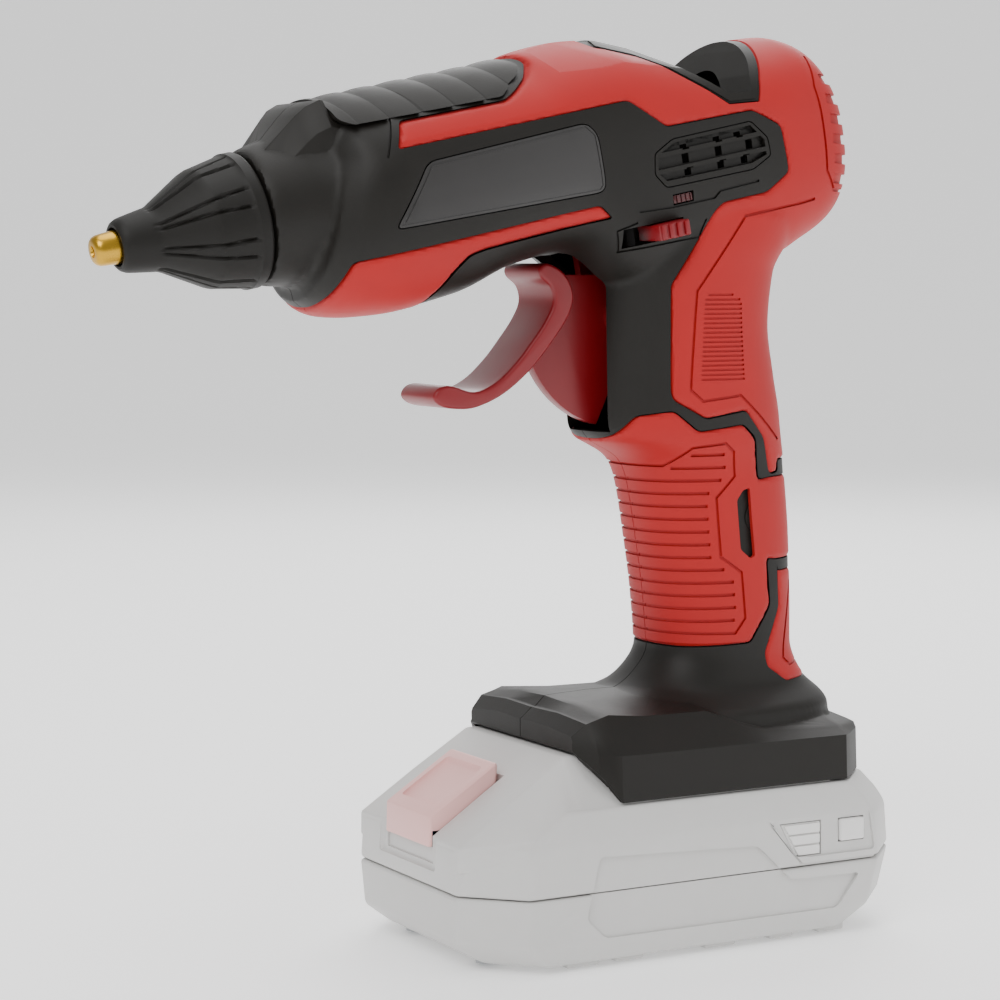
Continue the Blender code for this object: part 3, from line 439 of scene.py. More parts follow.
# X, lower edge, half width there, shoulder Z, half width at the rim, rim Z, ledge half width,
# ledge Z, crown Z.
FOOT = ((-29.4, 50.0, 25.4, 50.6, 25.0, 52.4, 24.4, 53.6, 54.4),
        (-26.0, 46.0, 29.6, 49.8, 27.4, 53.0, 25.8, 56.6, 57.2),
        (-25.0, 45.0, 30.6, 49.6, 28.4, 53.6, 25.8, 56.9, 57.4),
        (-22.4, 41.8, 31.6, 49.4, 28.8, 55.0, 25.8, 57.6, 59.8),
        (-19.8, FOOT_BASE, 33.0, 49.3, 29.0, 54.8, 26.0, 58.4, 60.0),
        (-10.0, FOOT_BASE, 33.0, 49.2, 29.0, 53.8, 26.2, 57.4, 60.4),
        (8.0, FOOT_BASE, 33.0, 49.2, 29.0, 53.2, 26.2, 57.2, 60.4),
        (18.0, FOOT_BASE, 33.0, 49.2, 29.0, 52.6, 27.4, 53.6, 60.0),
        (24.0, FOOT_BASE, 33.0, 49.1, 29.0, 51.2, 28.0, 51.9, 59.4),
        (46.0, FOOT_BASE, 33.0, 49.0, 29.0, 50.4, 28.0, 50.9, 57.0),
        (48.5, FOOT_BASE, 31.0, 48.8, 27.0, 50.2, 26.0, 50.7, 55.6),
        (57.0, FOOT_BASE, 22.2, 48.4, 20.6, 49.8, 18.0, 50.2, 50.8))


def foot_shell(grow=0.0):
    rings = []
    for x, low, half, side, rim_half, rim, ledge_half, ledge, crown in FOOT:
        right = [(half + grow, low), (half - 0.5 + grow, side + grow), (rim_half + grow, rim + grow),
                 (ledge_half + grow, ledge + grow), (ledge_half * 0.5, (ledge + crown) / 2 + 0.6 + grow),
                 (0.4, crown + grow)]
        section = right + [(-y, z) for y, z in reversed(right)]
        rings.append([(x, y, z) for y, z in section])
    return skin(rings, ROW)


print("foot stands", FOOT_BASE, "mm above the ground")

# %% Fuse the form and remesh it evenly
VOXEL = 0.85


def evened(made, smoothing):
    remesh = made.modifiers.new("even", "REMESH")
    remesh.mode = "VOXEL"
    remesh.voxel_size = VOXEL * MM
    smooth = made.modifiers.new("smooth", "SMOOTH")
    smooth.factor = 0.5
    smooth.iterations = smoothing
    return baked(made)


form = join(barrel_shell(), neck(), brow(), handle_shell(), foot_shell())
evened(form, 2)
# The foot's facets and the wedge over the collar keep their crisp edges.
join(form, foot_shell(0.15), brow(0.15))
for _, side in SIDES:
    cut(form, hump_facet(side))
form.name = "outer_form"
form_tree = BVHTree.FromObject(form, bpy.context.evaluated_depsgraph_get())
print("outer form has", len(form.data.polygons), "faces")


def arrays(made):
    count = len(made.data.vertices)
    points = np.empty(count * 3)
    made.data.vertices.foreach_get("co", points)
    normals = np.empty(count * 3)
    made.data.vertex_normals.foreach_get("vector", normals)
    return points.reshape(-1, 3), normals.reshape(-1, 3)


def form_at(depth):
    """The outer form with its skin moved inward, for backs, beds and the hollow."""
    deeper = copy_of(form)
    points, normals = arrays(deeper)
    deeper.data.vertices.foreach_set("co", (points - normals * depth * MM).ravel())
    return deeper


def carve(made, regions, depth):
    """Sinks the skin by a depth wherever the regions, which are solids, stand over it."""
    return cut(made, cut(group(regions), form_at(depth)))


# %% [markdown]
# ## Softened edges
# A moulded skin has a small radius where it meets its neighbour, and that thin highlight is what
# makes it look soft.  Points near an outline are pushed in along the form's own normal.

# %% Push in what is near an edge
SKIN_REACH = 0.6  # a point this close to the form is on the outer skin


def edge_distance(points, outline):
    """Distance in millimetres from (X, Z) points to a closed outline."""
    best = np.full(len(points), 1e9)
    for start, end in zip(outline[-1:] + outline[:-1], outline):
        start, end = np.array(start), np.array(end)
        along = end - start
        t = np.clip(((points - start) @ along) / max(along @ along, 1e-9), 0, 1)
        best = np.minimum(best, np.linalg.norm(points - start - t[:, None] * along, axis=1))
    return best


def rounded(made, outline, radius):
    """Rounds the piece's outer skin over towards its outline."""
    points, _ = arrays(made)
    inside = np.clip(1 - edge_distance(points[:, [0, 2]] / MM, outline) / radius, 0, 1)
    depth = radius * 0.75 * (1 - np.sqrt(np.clip(1 - inside ** 2, 0, 1)))
    for index in np.nonzero(depth > 0.01)[0]:
        hit, normal, _, distance = form_tree.find_nearest(Vector(points[index]))
        if hit is not None and distance < SKIN_REACH * MM:
            points[index] -= np.array(normal) * depth[index] * MM
    made.data.vertices.foreach_set("co", points.ravel())
    made.data.update()
    return made


print("edge tools ready")

# %% [markdown]
# ## Plastics and metals
# The gun is mostly ABS, moulded in a tool whose walls are spark eroded, so the surface is a fine
# even pebble that scatters the light.  The red is a thermoplastic rubber moulded over the ABS:
# duller, with a faint bloom at grazing angles.  Brass, zinc and steel keep a true metal's shine.

# %% One helper for nodes, one for colour
def linear(text):
    """An sRGB hex colour as linear RGBA."""
    parts = [int(text[i:i + 2], 16) / 255 for i in (1, 3, 5)]
    return tuple(c / 12.92 if c <= 0.04045 else ((c + 0.055) / 1.055) ** 2.4 for c in parts) + (1.0,)


def add(material, kind, settings=None, **inputs):
    """Adds a node; an input is a plain value or another node's output socket."""
    node = material.node_tree.nodes.new(kind)
    for key, value in (settings or {}).items():
        setattr(node, key, value)
    for key, value in inputs.items():
        socket = node.inputs[int(key[1:])] if key[1:].isdigit() else node.inputs[key.replace("_", " ")]
        if isinstance(value, bpy.types.NodeSocket):
            material.node_tree.links.new(value, socket)
        else:
            socket.default_value = value
    return node


def moulded(name, colour, second, roughness, spread, grain, depth, **more):
    """A surface with a grain of a given size in millimetres, slight mottling and uneven gloss."""
    material = bpy.data.materials.new(name)
    material.use_nodes = True
    shader = material.node_tree.nodes["Principled BSDF"]
    place = add(material, "ShaderNodeTexCoord").outputs["Object"]
    patches = add(material, "ShaderNodeTexNoise", Vector=place, Scale=120.0, Detail=4.0, Roughness=0.6)
    pebble = add(material, "ShaderNodeTexNoise", Vector=place, Scale=1 / (grain * MM), Detail=3.0,
                 Roughness=0.55)
    tint = add(material, "ShaderNodeMix", {"data_type": "RGBA"}, _0=patches.outputs["Fac"],
               _6=linear(colour), _7=linear(second))
    dull = add(material, "ShaderNodeMapRange", Value=patches.outputs["Fac"], To_Min=roughness - spread,
               To_Max=roughness + spread)
    bump = add(material, "ShaderNodeBump", Strength=0.5, Distance=depth * MM, Height=pebble.outputs["Fac"])
    links = material.node_tree.links
    links.new(tint.outputs[2], shader.inputs["Base Color"])
    links.new(dull.outputs[0], shader.inputs["Roughness"])
    links.new(bump.outputs["Normal"], shader.inputs["Normal"])
    for key, value in more.items():
        shader.inputs[key.replace("_", " ")].default_value = value
    return material


print("material helpers ready")

# %% The finishes, named for what they are
FINISHES = {
    # Spark-eroded ABS: a dry pebble about a third of a millimetre across.
    "black_plastic": moulded("spark_eroded_black_abs", "#100E0A", "#16130F", 0.52, 0.05, 0.42, 0.035,
                             Specular_IOR_Level=0.3),
    # Overmoulded soft rubber: duller, with a bloom of scattered light at the edges.
    "red_soft_grip": moulded("overmoulded_red_rubber", "#A30B0C", "#AD1011", 0.6, 0.05, 0.36, 0.03,
                             Sheen_Weight=0.05, Sheen_Roughness=0.5, Specular_IOR_Level=0.35),
    # Trigger and knob: bare ABS, a deeper red and smoother than the rubber.
    "red_trigger_plastic": moulded("satin_red_abs", "#74060F", "#800914", 0.38, 0.04, 0.5, 0.012),
    "brass": moulded("turned_brass", "#C49B35", "#B58B2B", 0.28, 0.06, 0.25, 0.012, Metallic=1.0),
    "aluminium": moulded("cast_aluminium", "#B9BABC", "#A7A8AA", 0.42, 0.08, 0.4, 0.03, Metallic=1.0),
    "steel": moulded("zinc_plated_steel", "#A9ABAE", "#979A9C", 0.3, 0.07, 0.3, 0.01, Metallic=1.0),
    # Glass-filled nylon of the nose: drier than the ABS beside it.
    "black_rubber": moulded("heatproof_black_nylon", "#0E0C09", "#13110D", 0.56, 0.05, 0.4, 0.03,
                            Specular_IOR_Level=0.28),
    "silicone": moulded("cured_silicone", "#A5563B", "#B0603F", 0.6, 0.06, 0.5, 0.02, IOR=1.41),
    "ceramic": moulded("pressed_steatite", "#DAD5C8", "#CFC9BA", 0.62, 0.06, 0.3, 0.02, IOR=1.6),
    "board": moulded("lacquered_board", "#14512B", "#1A5E33", 0.4, 0.05, 0.6, 0.01),
    # The pack is moulded in the same pebbled ABS, undyed.
    "pale_grey_plastic": moulded("spark_eroded_grey_abs", "#C6C5C3", "#CDCCCA", 0.5, 0.05, 0.42, 0.03),
    "pale_red_plastic": moulded("pale_coral_abs", "#E9B4B0", "#EDBBB7", 0.48, 0.05, 0.42, 0.025),
    "cell_wrap": moulded("shrunk_pvc_sleeve", "#2F6BA6", "#2A6199", 0.3, 0.05, 0.8, 0.01),
    "red_lens": moulded("smoked_red_acrylic", "#3A0B0E", "#4A1216", 0.18, 0.03, 0.8, 0.004, IOR=1.49),
}
GLOSS_LABEL = moulded("printed_polyester_label", "#191716", "#1E1B1A", 0.32, 0.04, 0.7, 0.006,
                      Coat_Weight=0.25, Coat_Roughness=0.2)
PALE_LABEL = moulded("grey_polyester_label", "#E2E1DF", "#E6E5E3", 0.3, 0.04, 0.7, 0.004)
print(len(FINISHES) + 2, "finishes")


# %% Name a piece, finish it and hand it to its body
def piece(name, made, body, slot, nodes=(), material=None, sharp=38):
    made.name = name
    made.data.name = name
    made.data.materials.clear()
    made.data.materials.append(material or FINISHES[slot])
    made.data.shade_smooth()
    made.data.set_sharp_from_angle(angle=radians(sharp))
    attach(made, body)
    if nodes:
        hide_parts(*nodes)
    return made


for node in frame["record"]["subparts"]:
    shown = frame["nodes"][node["node"]]
    for place in shown.material_slots:
        place.material = FINISHES[node["material_slot"]]
print(len(frame["nodes"]), "nodes of the frame finished")

# %% [markdown]
# ## Where the skins lie
# Each soft skin, the label and the grille fill a shallow bed in the black shell.  One outline makes
# the bed, and the same outline drawn in by the gap makes the piece that fills it, so they fit.

# %% Outlines of the skins
GAP = 0.3
BED = 1.4
UPPER = (on_barrel([(67.4, 10.0), (129.5, 10.5), (138.2, 2.6), (164.1, 2.2), (171.6, -2.8), (172.6, -14.2),
                    (165.7, -17.9), (152.5, -17.9), (149.9, -19.2), (135.8, -35.1), (135.3, -38.8),
                    (131.9, -61.5), (132.7, -63.5)])
         + [(12.3, 127.8), (24.4, 129.6), (30.7, 122.9), (33.2, 114.3), (34.4, 113.3), (37.4, 113.9),
            (37.0, 116.8), (84.0, 117.2), (84.0, 246.0)]
         + on_barrel([(111.8, 60.0), (111.6, 23.4), (107.6, 20.2), (102.6, 17.6), (99.0, 16.2),
                      (70.9, 16.2)]))
BELLY = on_barrel([(52.8, -12.9), (117.4, -12.2), (120.6, -16.0), (85.9, -16.7), (81.7, -17.3), (78.3, -20.0),
                   (73.5, -26.0), (72.5, -42.0), (47.6, -42.0), (47.6, -22.0)])
GRIP = [(-9.7, 123.4), (-5.4, 129.2), (3.4, 130.3), (10.5, 125.0), (23.8, 126.5), (28.0, 123.0),
        (29.7, 112.4), (34.0, 113.0), (84.0, 113.6), (84.0, 92.0), (35.8, 91.8), (33.0, 92.2),
        (34.2, 80.4), (28.0, 71.2), (10.1, 70.7), (-30.0, 72.4), (-30.0, 119.8), (-13.0, 119.8)]
HEEL = [(36.6, 91.0), (36.9, 89.2), (84.0, 89.4), (84.0, 61.0), (42.4, 61.2), (38.8, 61.0), (33.0, 65.0),
        (32.4, 68.6), (37.2, 79.8)]
WINDOW = [(23.0, 107.4), (24.8, 109.9), (26.8, 110.4), (28.8, 93.2), (27.4, 92.6), (24.4, 95.0)]
LABEL = on_barrel([(73.5, 6.2), (116.6, 7.6), (119.0, 4.6), (119.1, -8.0), (117.6, -9.4), (62.4, -7.6)])
VENT = on_barrel([(133.4, -2.8), (139.1, -0.2), (163.0, 0.0), (167.4, -4.8), (167.8, -9.4), (162.0, -11.9),
                  (135.6, -11.6), (132.6, -7.9)])
RIB_PAD = on_barrel([(57.2, 18.8), (60.0, 17.0), (98.6, 16.9), (101.6, 18.8), (106.4, 21.2), (109.6, 24.0),
                     (110.4, 42.0), (57.0, 42.0)])
SCOOP_FLOOR = [(134.1, 25.8), (142.2, 22.1), (149.7, 15.4), (155.1, 11.0), (159.0, 7.4), (165.3, 6.8),
               (167.3, 10.4), (171.8, 16.4), (174.5, 19.6)]
SCOOP = on_barrel([(132.0, 28.6)] + SCOOP_FLOOR + [(178.0, 24.5), (178.0, 42.0), (132.0, 42.0)])
SKINS = (("upper_panel", softened(UPPER, 1.2), "red_soft_grip", 1.0),
         ("belly_panel", softened(BELLY, 1.2), "red_soft_grip", 1.1),
         ("grip", softened(GRIP, 1.4), "red_soft_grip", 0.9),
         ("heel_pad", softened(HEEL, 1.0), "red_soft_grip", 0.9),
         ("label_plate", softened(LABEL, 2.2), "black_plastic", 0),
         ("vent_grille", softened(VENT, 1.0), "black_plastic", 0))
print(len(SKINS), "skins a side")

# %% Cut the scoop, and the black spine that runs down into it
cut(form, through(SCOOP))


def spine(grow):
    """The black strip between the two red skins, seen from above: (u, half width)."""
    edge = [(126.0, 0.01), (131.0, 2.2), (137.0, 4.4), (146.0, 8.4), (152.0, 11.6), (156.5, 14.0)]
    ring = [(u, half + grow) for u, half in edge]
    outline = [(u, -half) for u, half in ring] + [(u, half) for u, half in reversed(ring)]
    return skin([[(u, y, v) for u, y in outline] for v in (7.6, 40.0)], BARREL)


def scoop_eye():
    """The arch in the scoop's rear wall that a stick comes through."""
    arch = turned([(158.0, 0.01), (158.0, 12.6), (182.0, 12.6), (182.0, 0.01)])
    return cut(arch, box((150.0, -20.0, -20.0), (184.0, 20.0, 8.0), BARREL))


def scoop_rim(grow):
    """What stands over the scoop and its black rim."""
    return through(inset(SCOOP, -grow))


print("scoop cut, form now", len(form.data.polygons), "faces")

# %% [markdown]
# ## The housing halves
# Both halves are the form itself: sunk a hair below the red, bedded for the skins, hollowed, and cut
# for the trigger, the stick and the pack.  They are cut apart on the middle plane last.

# %% The black shell
RIM = 2.4  # the black rim round the scoop
SHELL_WALL = 3.2
black = form_at(0.25)
beds = [plate(outline, side * 0.1, side * FAR) for _, outline, _, _ in SKINS for _, side in SIDES]
upper_beds = cut(group(beds), spine(0.0), scoop_rim(RIM))
cut(black, cut(upper_beds, form_at(BED)))
carve(black, [through(softened(RIB_PAD, 1.0))], BED)
cut(black, form_at(SHELL_WALL))
PIVOT = (-2.0, 153.0)
cut(black, box((-20.0, -9.8, 124.9), (2.0, 9.8, 176.0)), box((-24.5, -9.8, 165.0), (-10.0, 9.8, 177.0)),
    turned([(30.0, 0.01), (30.0, 11.5), (60.0, 11.5), (60.0, 0.01)]),
    turned([(178.0, 0.01), (178.0, 6.5), (210.0, 6.5), (210.0, 0.01)]),
    box((-40.0, -25.0, 30.0), (-15.0, 25.0, 49.6)),
    box((-22.0, -29.8, 30.0), (49.0, 29.8, 44.0)))
cut(black, scoop_eye())
print("shell hollowed,", len(black.data.polygons), "faces")

# %% Vents, switch slot, lamp window and trims in the shell
KNOB_U, KNOB_V, KNOB_TRAVEL = 135.0, -21.5, 6.5
knob_slot = box((KNOB_U - 11.8, -FAR, KNOB_V - 2.3), (KNOB_U + 5.0, -15.0, KNOB_V + 2.3), BARREL)
lamp_hole = box((137.2, -FAR, -16.0), (143.3, -18.0, -13.4), BARREL)
vent_way = [plate(inset(VENT, 2.0), side * 15.0, side * FAR) for _, side in SIDES]
cut(black, knob_slot, lamp_hole, *vent_way)
TRIMS = (([(127.5, -15.7), (137.0, -16.3), (149.6, -16.4), (151.5, -15.0), (163.4, -14.8)], 0.6),
         ([(147.0, -21.0), (144.6, -25.0), (122.6, -24.4), (121.6, -19.2), (127.0, -18.2)], 0.5),
         ([(64.6, 8.6), (69.4, 17.4), (98.6, 17.4)], 0.5))
carve(black, [plate(strip(on_barrel(line), width), side * 12.0, side * FAR)
              for line, width in TRIMS for _, side in SIDES], 0.7)
SCREWS = [on_barrel([place])[0] for place in ((64.0, -20.0), (122.0, 14.8), (172.0, -22.0), (150.0, -29.0))]
SCREWS += [(8.0, 131.0), (30.0, 103.0), (20.0, 64.5), (51.0, 45.0)]
SCREW_SEATS = (18.5, 18.5, 15.5, 15.0, 11.0, 9.0, 9.0, 12.0)


def screw_wells():
    return [rod((x, seat - 0.2, z), (x, FAR, z), 3.2, segments=32)
            for (x, z), seat in zip(SCREWS, SCREW_SEATS)]


def screw_bosses(side, radius):
    tubes = []
    for (x, z), seat in zip(SCREWS, SCREW_SEATS):
        tubes.append(rod((x, side * 0.15, z), (x, side * (FAR - 1), z), radius, segments=32))
    return common(group(tubes), form_at(BED - GAP))


for word, side in SIDES:
    half = common(copy_of(black), one_side(side, far=2 * FAR))
    join(half, screw_bosses(side, 3.6 if side < 0 else 4.4))
    if side > 0:
        cut(half, *screw_wells())
    piece("housing_shell_" + word, half, "tool", "black_plastic", ("housing_" + word,), sharp=20)
bpy.data.objects.remove(black)
print("both halves of the housing cut")

# %% [markdown]
# ## Ribs, grooves and teeth in the red
# On the real gun these are milled into the mould.  Here each one is a thin plate that sinks the skin
# by half a millimetre or so wherever it stands, so every groove follows the curve below it.

# %% What is milled into each skin
GRIP_FIELD = [(-30.0, 116.8), (3.9, 116.8), (9.1, 121.3), (18.5, 122.2), (21.5, 119.8), (22.5, 113.3),
              (17.5, 108.1), (19.1, 93.6), (25.1, 89.5), (26.4, 77.6), (23.4, 73.7), (-30.0, 74.9)]
RIB_FIELD = [(12.9, 161.2), (10.3, 157.1), (10.4, 136.4), (13.4, 134.3), (23.7, 136.1), (21.4, 157.0)]
HANDLE_LINE = [(43.2, 182.0), (39.1, 181.0), (20.7, 177.5), (7.9, 159.3), (7.5, 135.2), (11.1, 132.4),
               (22.3, 133.6), (30.7, 127.0), (37.0, 122.0)]
CAP_LINE = [(43.4, 217.5), (41.6, 209.5), (45.6, 189.0), (49.6, 184.3), (66.0, 184.0)]
HEEL_LINE = [(42.6, 86.0), (39.4, 70.2), (38.9, 66.6), (41.2, 64.8), (60.0, 66.2)]
RIB_PITCH = 3.2
FINE_PITCH = 1.15
TOOTH_PITCH = 4.9


def groove_loop(outline, width):
    ring = through(outline)
    return cut(ring, plate(inset(outline, width), -FAR - 1, FAR + 1))


def level_bar(left, right, level, half):
    return through([(left, level - half), (right, level - half), (right, level + half), (left, level + half)])


def grip_grooves():
    tools = [groove_loop(GRIP_FIELD, 0.75)]
    level = 119.0
    while level > 76.5:
        reach = span(inset(GRIP_FIELD, 1.9), level)
        left = max(reach[0], -24.0) if level < 117 else reach[0]
        right = reach[1] - 0.9
        if right - left > 4:
            tools.append(level_bar(left, right, level, 0.42))
        level -= RIB_PITCH
    return tools


def fine_ribs():
    tools = []
    level = 158.4
    while level > 136.6:
        tools.append(level_bar(*span(RIB_FIELD, level), level, 0.28))
        level -= FINE_PITCH
    return tools


def teeth():
    """Notches along the rear of the cap, between the relief line and the back."""
    tools = []
    for k in range(6):
        level = 211.6 - k * TOOTH_PITCH
        line = np.interp(level, (189.0, 209.5), (45.6, 41.6)) + 3.2
        tools.append(through([(line, level - 1.2), (70.0, level - 1.6), (70.0, level + 0.9),
                              (line, level + 1.3)]))
    return tools


MILLED = {
    "upper_panel": ((0.55, lambda: [through(strip(HANDLE_LINE, 0.75)), through(strip(CAP_LINE, 0.8))]),
                    (0.35, fine_ribs), (0.8, teeth)),
    "belly_panel": (),
    "grip": ((0.6, grip_grooves), (BED + 1, lambda: [through(softened(WINDOW, 0.6))])),
    "heel_pad": ((0.5, lambda: [through(strip(HEEL_LINE, 0.8))]),),
    "label_plate": ((0.3, lambda: [groove_loop(inset(LABEL, 0.9), 0.5)]),),
}
print(len(MILLED), "skins are milled")

# %% The skins themselves
BULGE = {"label_plate": 0.15}


def skin_piece(label, outline, side, radius):
    made = common(plate(inset(outline, GAP), side * SEAM_GAP, side * FAR), form_at(BULGE.get(label, 0.0)))
    cut(made, form_at(BED - GAP))
    for depth, tools in MILLED[label]:
        carve(made, [common(each, one_side(side)) for each in tools()], depth)
    if label == "upper_panel":
        cut(made, spine(GAP), scoop_rim(RIM + GAP))
        cut(made, turned([(180.0, 0.01), (180.0, 6.8), (210.0, 6.8), (210.0, 0.01)]))
    if side > 0:
        cut(made, *screw_wells())
    return rounded(made, inset(outline, GAP), radius) if radius else made


for label, outline, slot, radius in SKINS:
    if label == "vent_grille":
        continue
    for word, side in SIDES:
        made = skin_piece(label, outline, side, radius)
        finish = GLOSS_LABEL if label == "label_plate" else None
        piece("%s_skin_%s" % (label, word), made, "tool", slot, ("%s_%s" % (label, word),), finish)
print("skins fitted")


# %% The ribbed pad on the nose
RIB_STEPS = (58.4, 66.6, 75.2, 83.6, 92.0, 100.4, 108.8)


def ribbed_form():
    """The barrel's own sections, swelling toward the end of each rib and dropping to the next."""
    table = np.array(BODY)
    rings = []
    for u in np.arange(55.0, 113.0, 0.3):
        top, share = (np.interp(u, table[:, 0], table[:, column]) for column in (2, 4))
        past = [u - start for start in RIB_STEPS if u >= start]
        along = min(past[-1] / 8.4, 1.0) if past else 0.9
        lift = 1.5 * sin(min(0.25 + along * 0.95, 1.0) * pi / 2) - 1.5
        if along > 0.9:
            lift -= 1.1
        section = egg(0, top + 1.0 + lift, 20, BODY_HALF * share + 0.25 + 0.6 * lift, 2.2, 2.7)
        rings.append([(u + 1.8 * (y / 16.0) ** 2, y, v) for y, v in section])
    return skin(rings, BARREL)


pad = common(through(inset(softened(RIB_PAD, 1.0), GAP / 2)), ribbed_form())
cut(pad, form_at(BED + 0.6))
piece("nose_rib_pad", pad, "tool", "black_plastic", ("rib_pad",), sharp=50)
print("pad has", len(RIB_STEPS), "steps")

# %% [markdown]
# ## The vent
# Two long bars stand flush over a sunk floor, and narrow slots in the floor let the warm air out.

# %% Vent grilles
VENT_BARS = (-3.6, -7.5)
VENT_FIELD = [(134.6, -3.4), (139.4, -1.3), (162.6, -1.1), (166.2, -5.2), (166.4, -8.9), (161.6, -10.2),
              (136.0, -9.9), (133.8, -7.6)]
VENT_SLOTS = (((142.6, -2.3), (152.6, -2.3), (159.0, -2.3)), ((142.8, -5.6), (152.8, -5.6), (162.2, -5.6)),
              ((143.0, -8.9), (153.0, -8.9), (160.2, -8.9)))


def grille(side):
    made = common(plate(inset(softened(VENT, 1.0), GAP), side * GAP, side * FAR), form_at(0.25))
    cut(made, form_at(BED + 0.9))
    field = plate(on_barrel(VENT_FIELD), side * GAP, side * FAR)
    for v in VENT_BARS:
        cut(field, box((100, -FAR - 1, v - 0.55), (200, FAR + 1, v + 0.55), BARREL))
    carve(made, [field], BED)
    slots = [box((u - 1.0, side * 5, v - 1.15), (u + 1.0, side * FAR, v + 1.15), BARREL)
             for row in VENT_SLOTS for u, v in row]
    cut(made, group([common(each, one_side(side, GAP)) for each in slots]))
    return made


for word, side in SIDES:
    piece("vent_bars_" + word, grille(side), "tool", "black_plastic", ("vent_grille_" + word,))
print("grilles with", sum(len(row) for row in VENT_SLOTS), "slots each")

# %% [markdown]
# ## The nose
# The boot is a turned cone with eight tapering pads, each with a milled groove along both sides.
# Lowering the skin by a formula while it is spun gives both without any cutting.

# %% Nose boot and brass tip
PADS = 8
PAD_START, PAD_END = 13.0, 34.2


def boot_relief(u, turn):
    """How far the skin lies below its cone: nothing on a pad, a little between, most in the grooves."""
    if not PAD_START < u < PAD_END:
        return 0.0
    share = (u - PAD_START) / (PAD_END - PAD_START)
    radius = np.interp(u, (PAD_START, 25.7, PAD_END), (7.3, 13.9, 15.6))
    across = ((turn / (2 * pi) * PADS) % 1.0 - 0.5) * 2 * pi * radius / PADS
    half = 0.35 + 1.75 * share
    aside = abs(across) - half
    if aside < -0.35:
        return 0.0
    ends = min(1.0, (u - PAD_START) / 3.0, (PAD_END - u) / 0.5)
    groove = 0.8 * max(0.0, 1 - abs(aside - 0.15) / 0.6)
    return (groove + 0.12 * min(1.0, max(0.0, aside + 0.35))) * ends


def evenly(profile, step):
    """Extra points along an outline's straight runs."""
    points = []
    for (ua, ra), (ub, rb) in zip(profile, profile[1:] + profile[:1]):
        count = max(1, int(np.hypot(ub - ua, rb - ra) / step)) if min(ra, rb) > 5 else 1
        points += [(ua + (ub - ua) * k / count, ra + (rb - ra) * k / count) for k in range(count)]
    return points


BOOT = [(5.5, 4.5), (5.5, 5.1), (6.0, 5.7), (7.0, 6.2), (8.2, 6.45), (14.0, 7.4), (15.0, 7.8), (24.9, 13.4),
        (26.2, 13.95), (33.6, 15.4), (34.4, 15.55), (34.8, 15.8), (37.0, 15.8), (37.5, 15.5), (37.6, 13.0),
        (25.7, 11.6), (14.0, 4.7), (9.0, 4.4)]
piece("nose_boot", turned(evenly(BOOT, 0.5), 320, relief=boot_relief), "tool", "black_rubber",
      ("nozzle_boot",), sharp=30)
TIP_PROFILE = [(0.0, 1.35), (0.02, 2.3), (0.2, 2.8), (0.6, 3.2), (1.2, 3.48), (1.9, 3.6), (5.4, 3.85),
               (9.0, 3.9), (9.0, 1.9), (3.0, 1.0), (0.9, 0.9)]
piece("brass_tip", turned(TIP_PROFILE, 96), "tool", "brass", ("nozzle_tip",), sharp=50)
print("boot with", PADS, "pads")

# %% [markdown]
# ## Trigger
# The lever is a curved finger hook, thick at the top and thin at its lip, moulded in one with the
# quarter disc behind it that keeps the slot closed as it moves.

# %% The lever, its web and its hub
def flowing(outline, per_side=5):
    """A closed Catmull-Rom curve through an outline's points."""
    points = []
    count = len(outline)
    for i in range(count):
        a, b, c, d = (Vector(outline[(i + k) % count]) for k in (-1, 0, 1, 2))
        for k in range(per_side):
            t = k / per_side
            points.append(tuple(0.5 * (2 * b + (c - a) * t + (2 * a - 5 * b + 4 * c - d) * t ** 2
                                       + (3 * b - a - 3 * c + d) * t ** 3)))
    return points


def pillow(outline, half, radius):
    """A plate across the tool whose rim is rounded on both faces."""
    turns = [pi / 10 * k for k in range(6)]
    near = [(radius - half - radius * cos(a), radius * (1 - sin(a))) for a in turns]
    rows = near + [(-y, back) for y, back in reversed(near)]
    return skin([[(x, y, z) for x, z in inset(outline, back)] for y, back in rows])


LEVER = [(-57.6, 134.2), (-56.8, 136.2), (-54.6, 137.2), (-51.9, 137.0), (-46.4, 135.6), (-40.4, 137.9),
         (-34.9, 142.6), (-30.6, 147.6), (-27.1, 152.2), (-25.0, 156.6), (-25.8, 160.4), (-28.6, 162.9),
         (-28.8, 165.0), (-26.4, 166.0), (-21.8, 163.6), (-19.3, 158.6), (-20.6, 153.4), (-25.6, 146.6),
         (-31.1, 140.6), (-38.4, 135.0), (-45.9, 131.9), (-51.5, 131.6), (-55.6, 132.4)]
WEB_R = 27.4
web_arc = [(PIVOT[0] + WEB_R * cos(radians(a)), PIVOT[1] + WEB_R * sin(radians(a)))
           for a in range(205, 257, 3)]
lever = pillow(flowing(LEVER), 9.0, 0.9)
web_plan = web_arc + [(1.9, 149.6), (1.9, 156.0), (-4.0, 163.2), (-21.5, 163.2)]
web = bevelled(plate(web_plan, -1.7, 1.7), 0.4, 2, 40)
hub = rod((PIVOT[0], -8.9, PIVOT[1]), (PIVOT[0], 8.9, PIVOT[1]), 4.6)
join(lever, web, hub)
PIVOT_U = (PIVOT[0] - TIP[0]) * cos(TILT) + (PIVOT[1] - TIP[1]) * sin(TILT)
PIVOT_V = (PIVOT[1] - TIP[1]) * cos(TILT) - (PIVOT[0] - TIP[0]) * sin(TILT)
for _, side in SIDES:
    low, high = sorted((side * 6.4, side * 8.9))
    arm = box((PIVOT_U - 4.2, low, PIVOT_V), (PIVOT_U + 4.2, high, -8.6), BARREL)
    join(lever, cut(arm, box((PIVOT_U - 2.6, low - 1, -18.0), (PIVOT_U + 2.6, high + 1, -7.0), BARREL)))
cut(lever, rod((PIVOT[0], -20, PIVOT[1]), (PIVOT[0], 20, PIVOT[1]), 2.1))
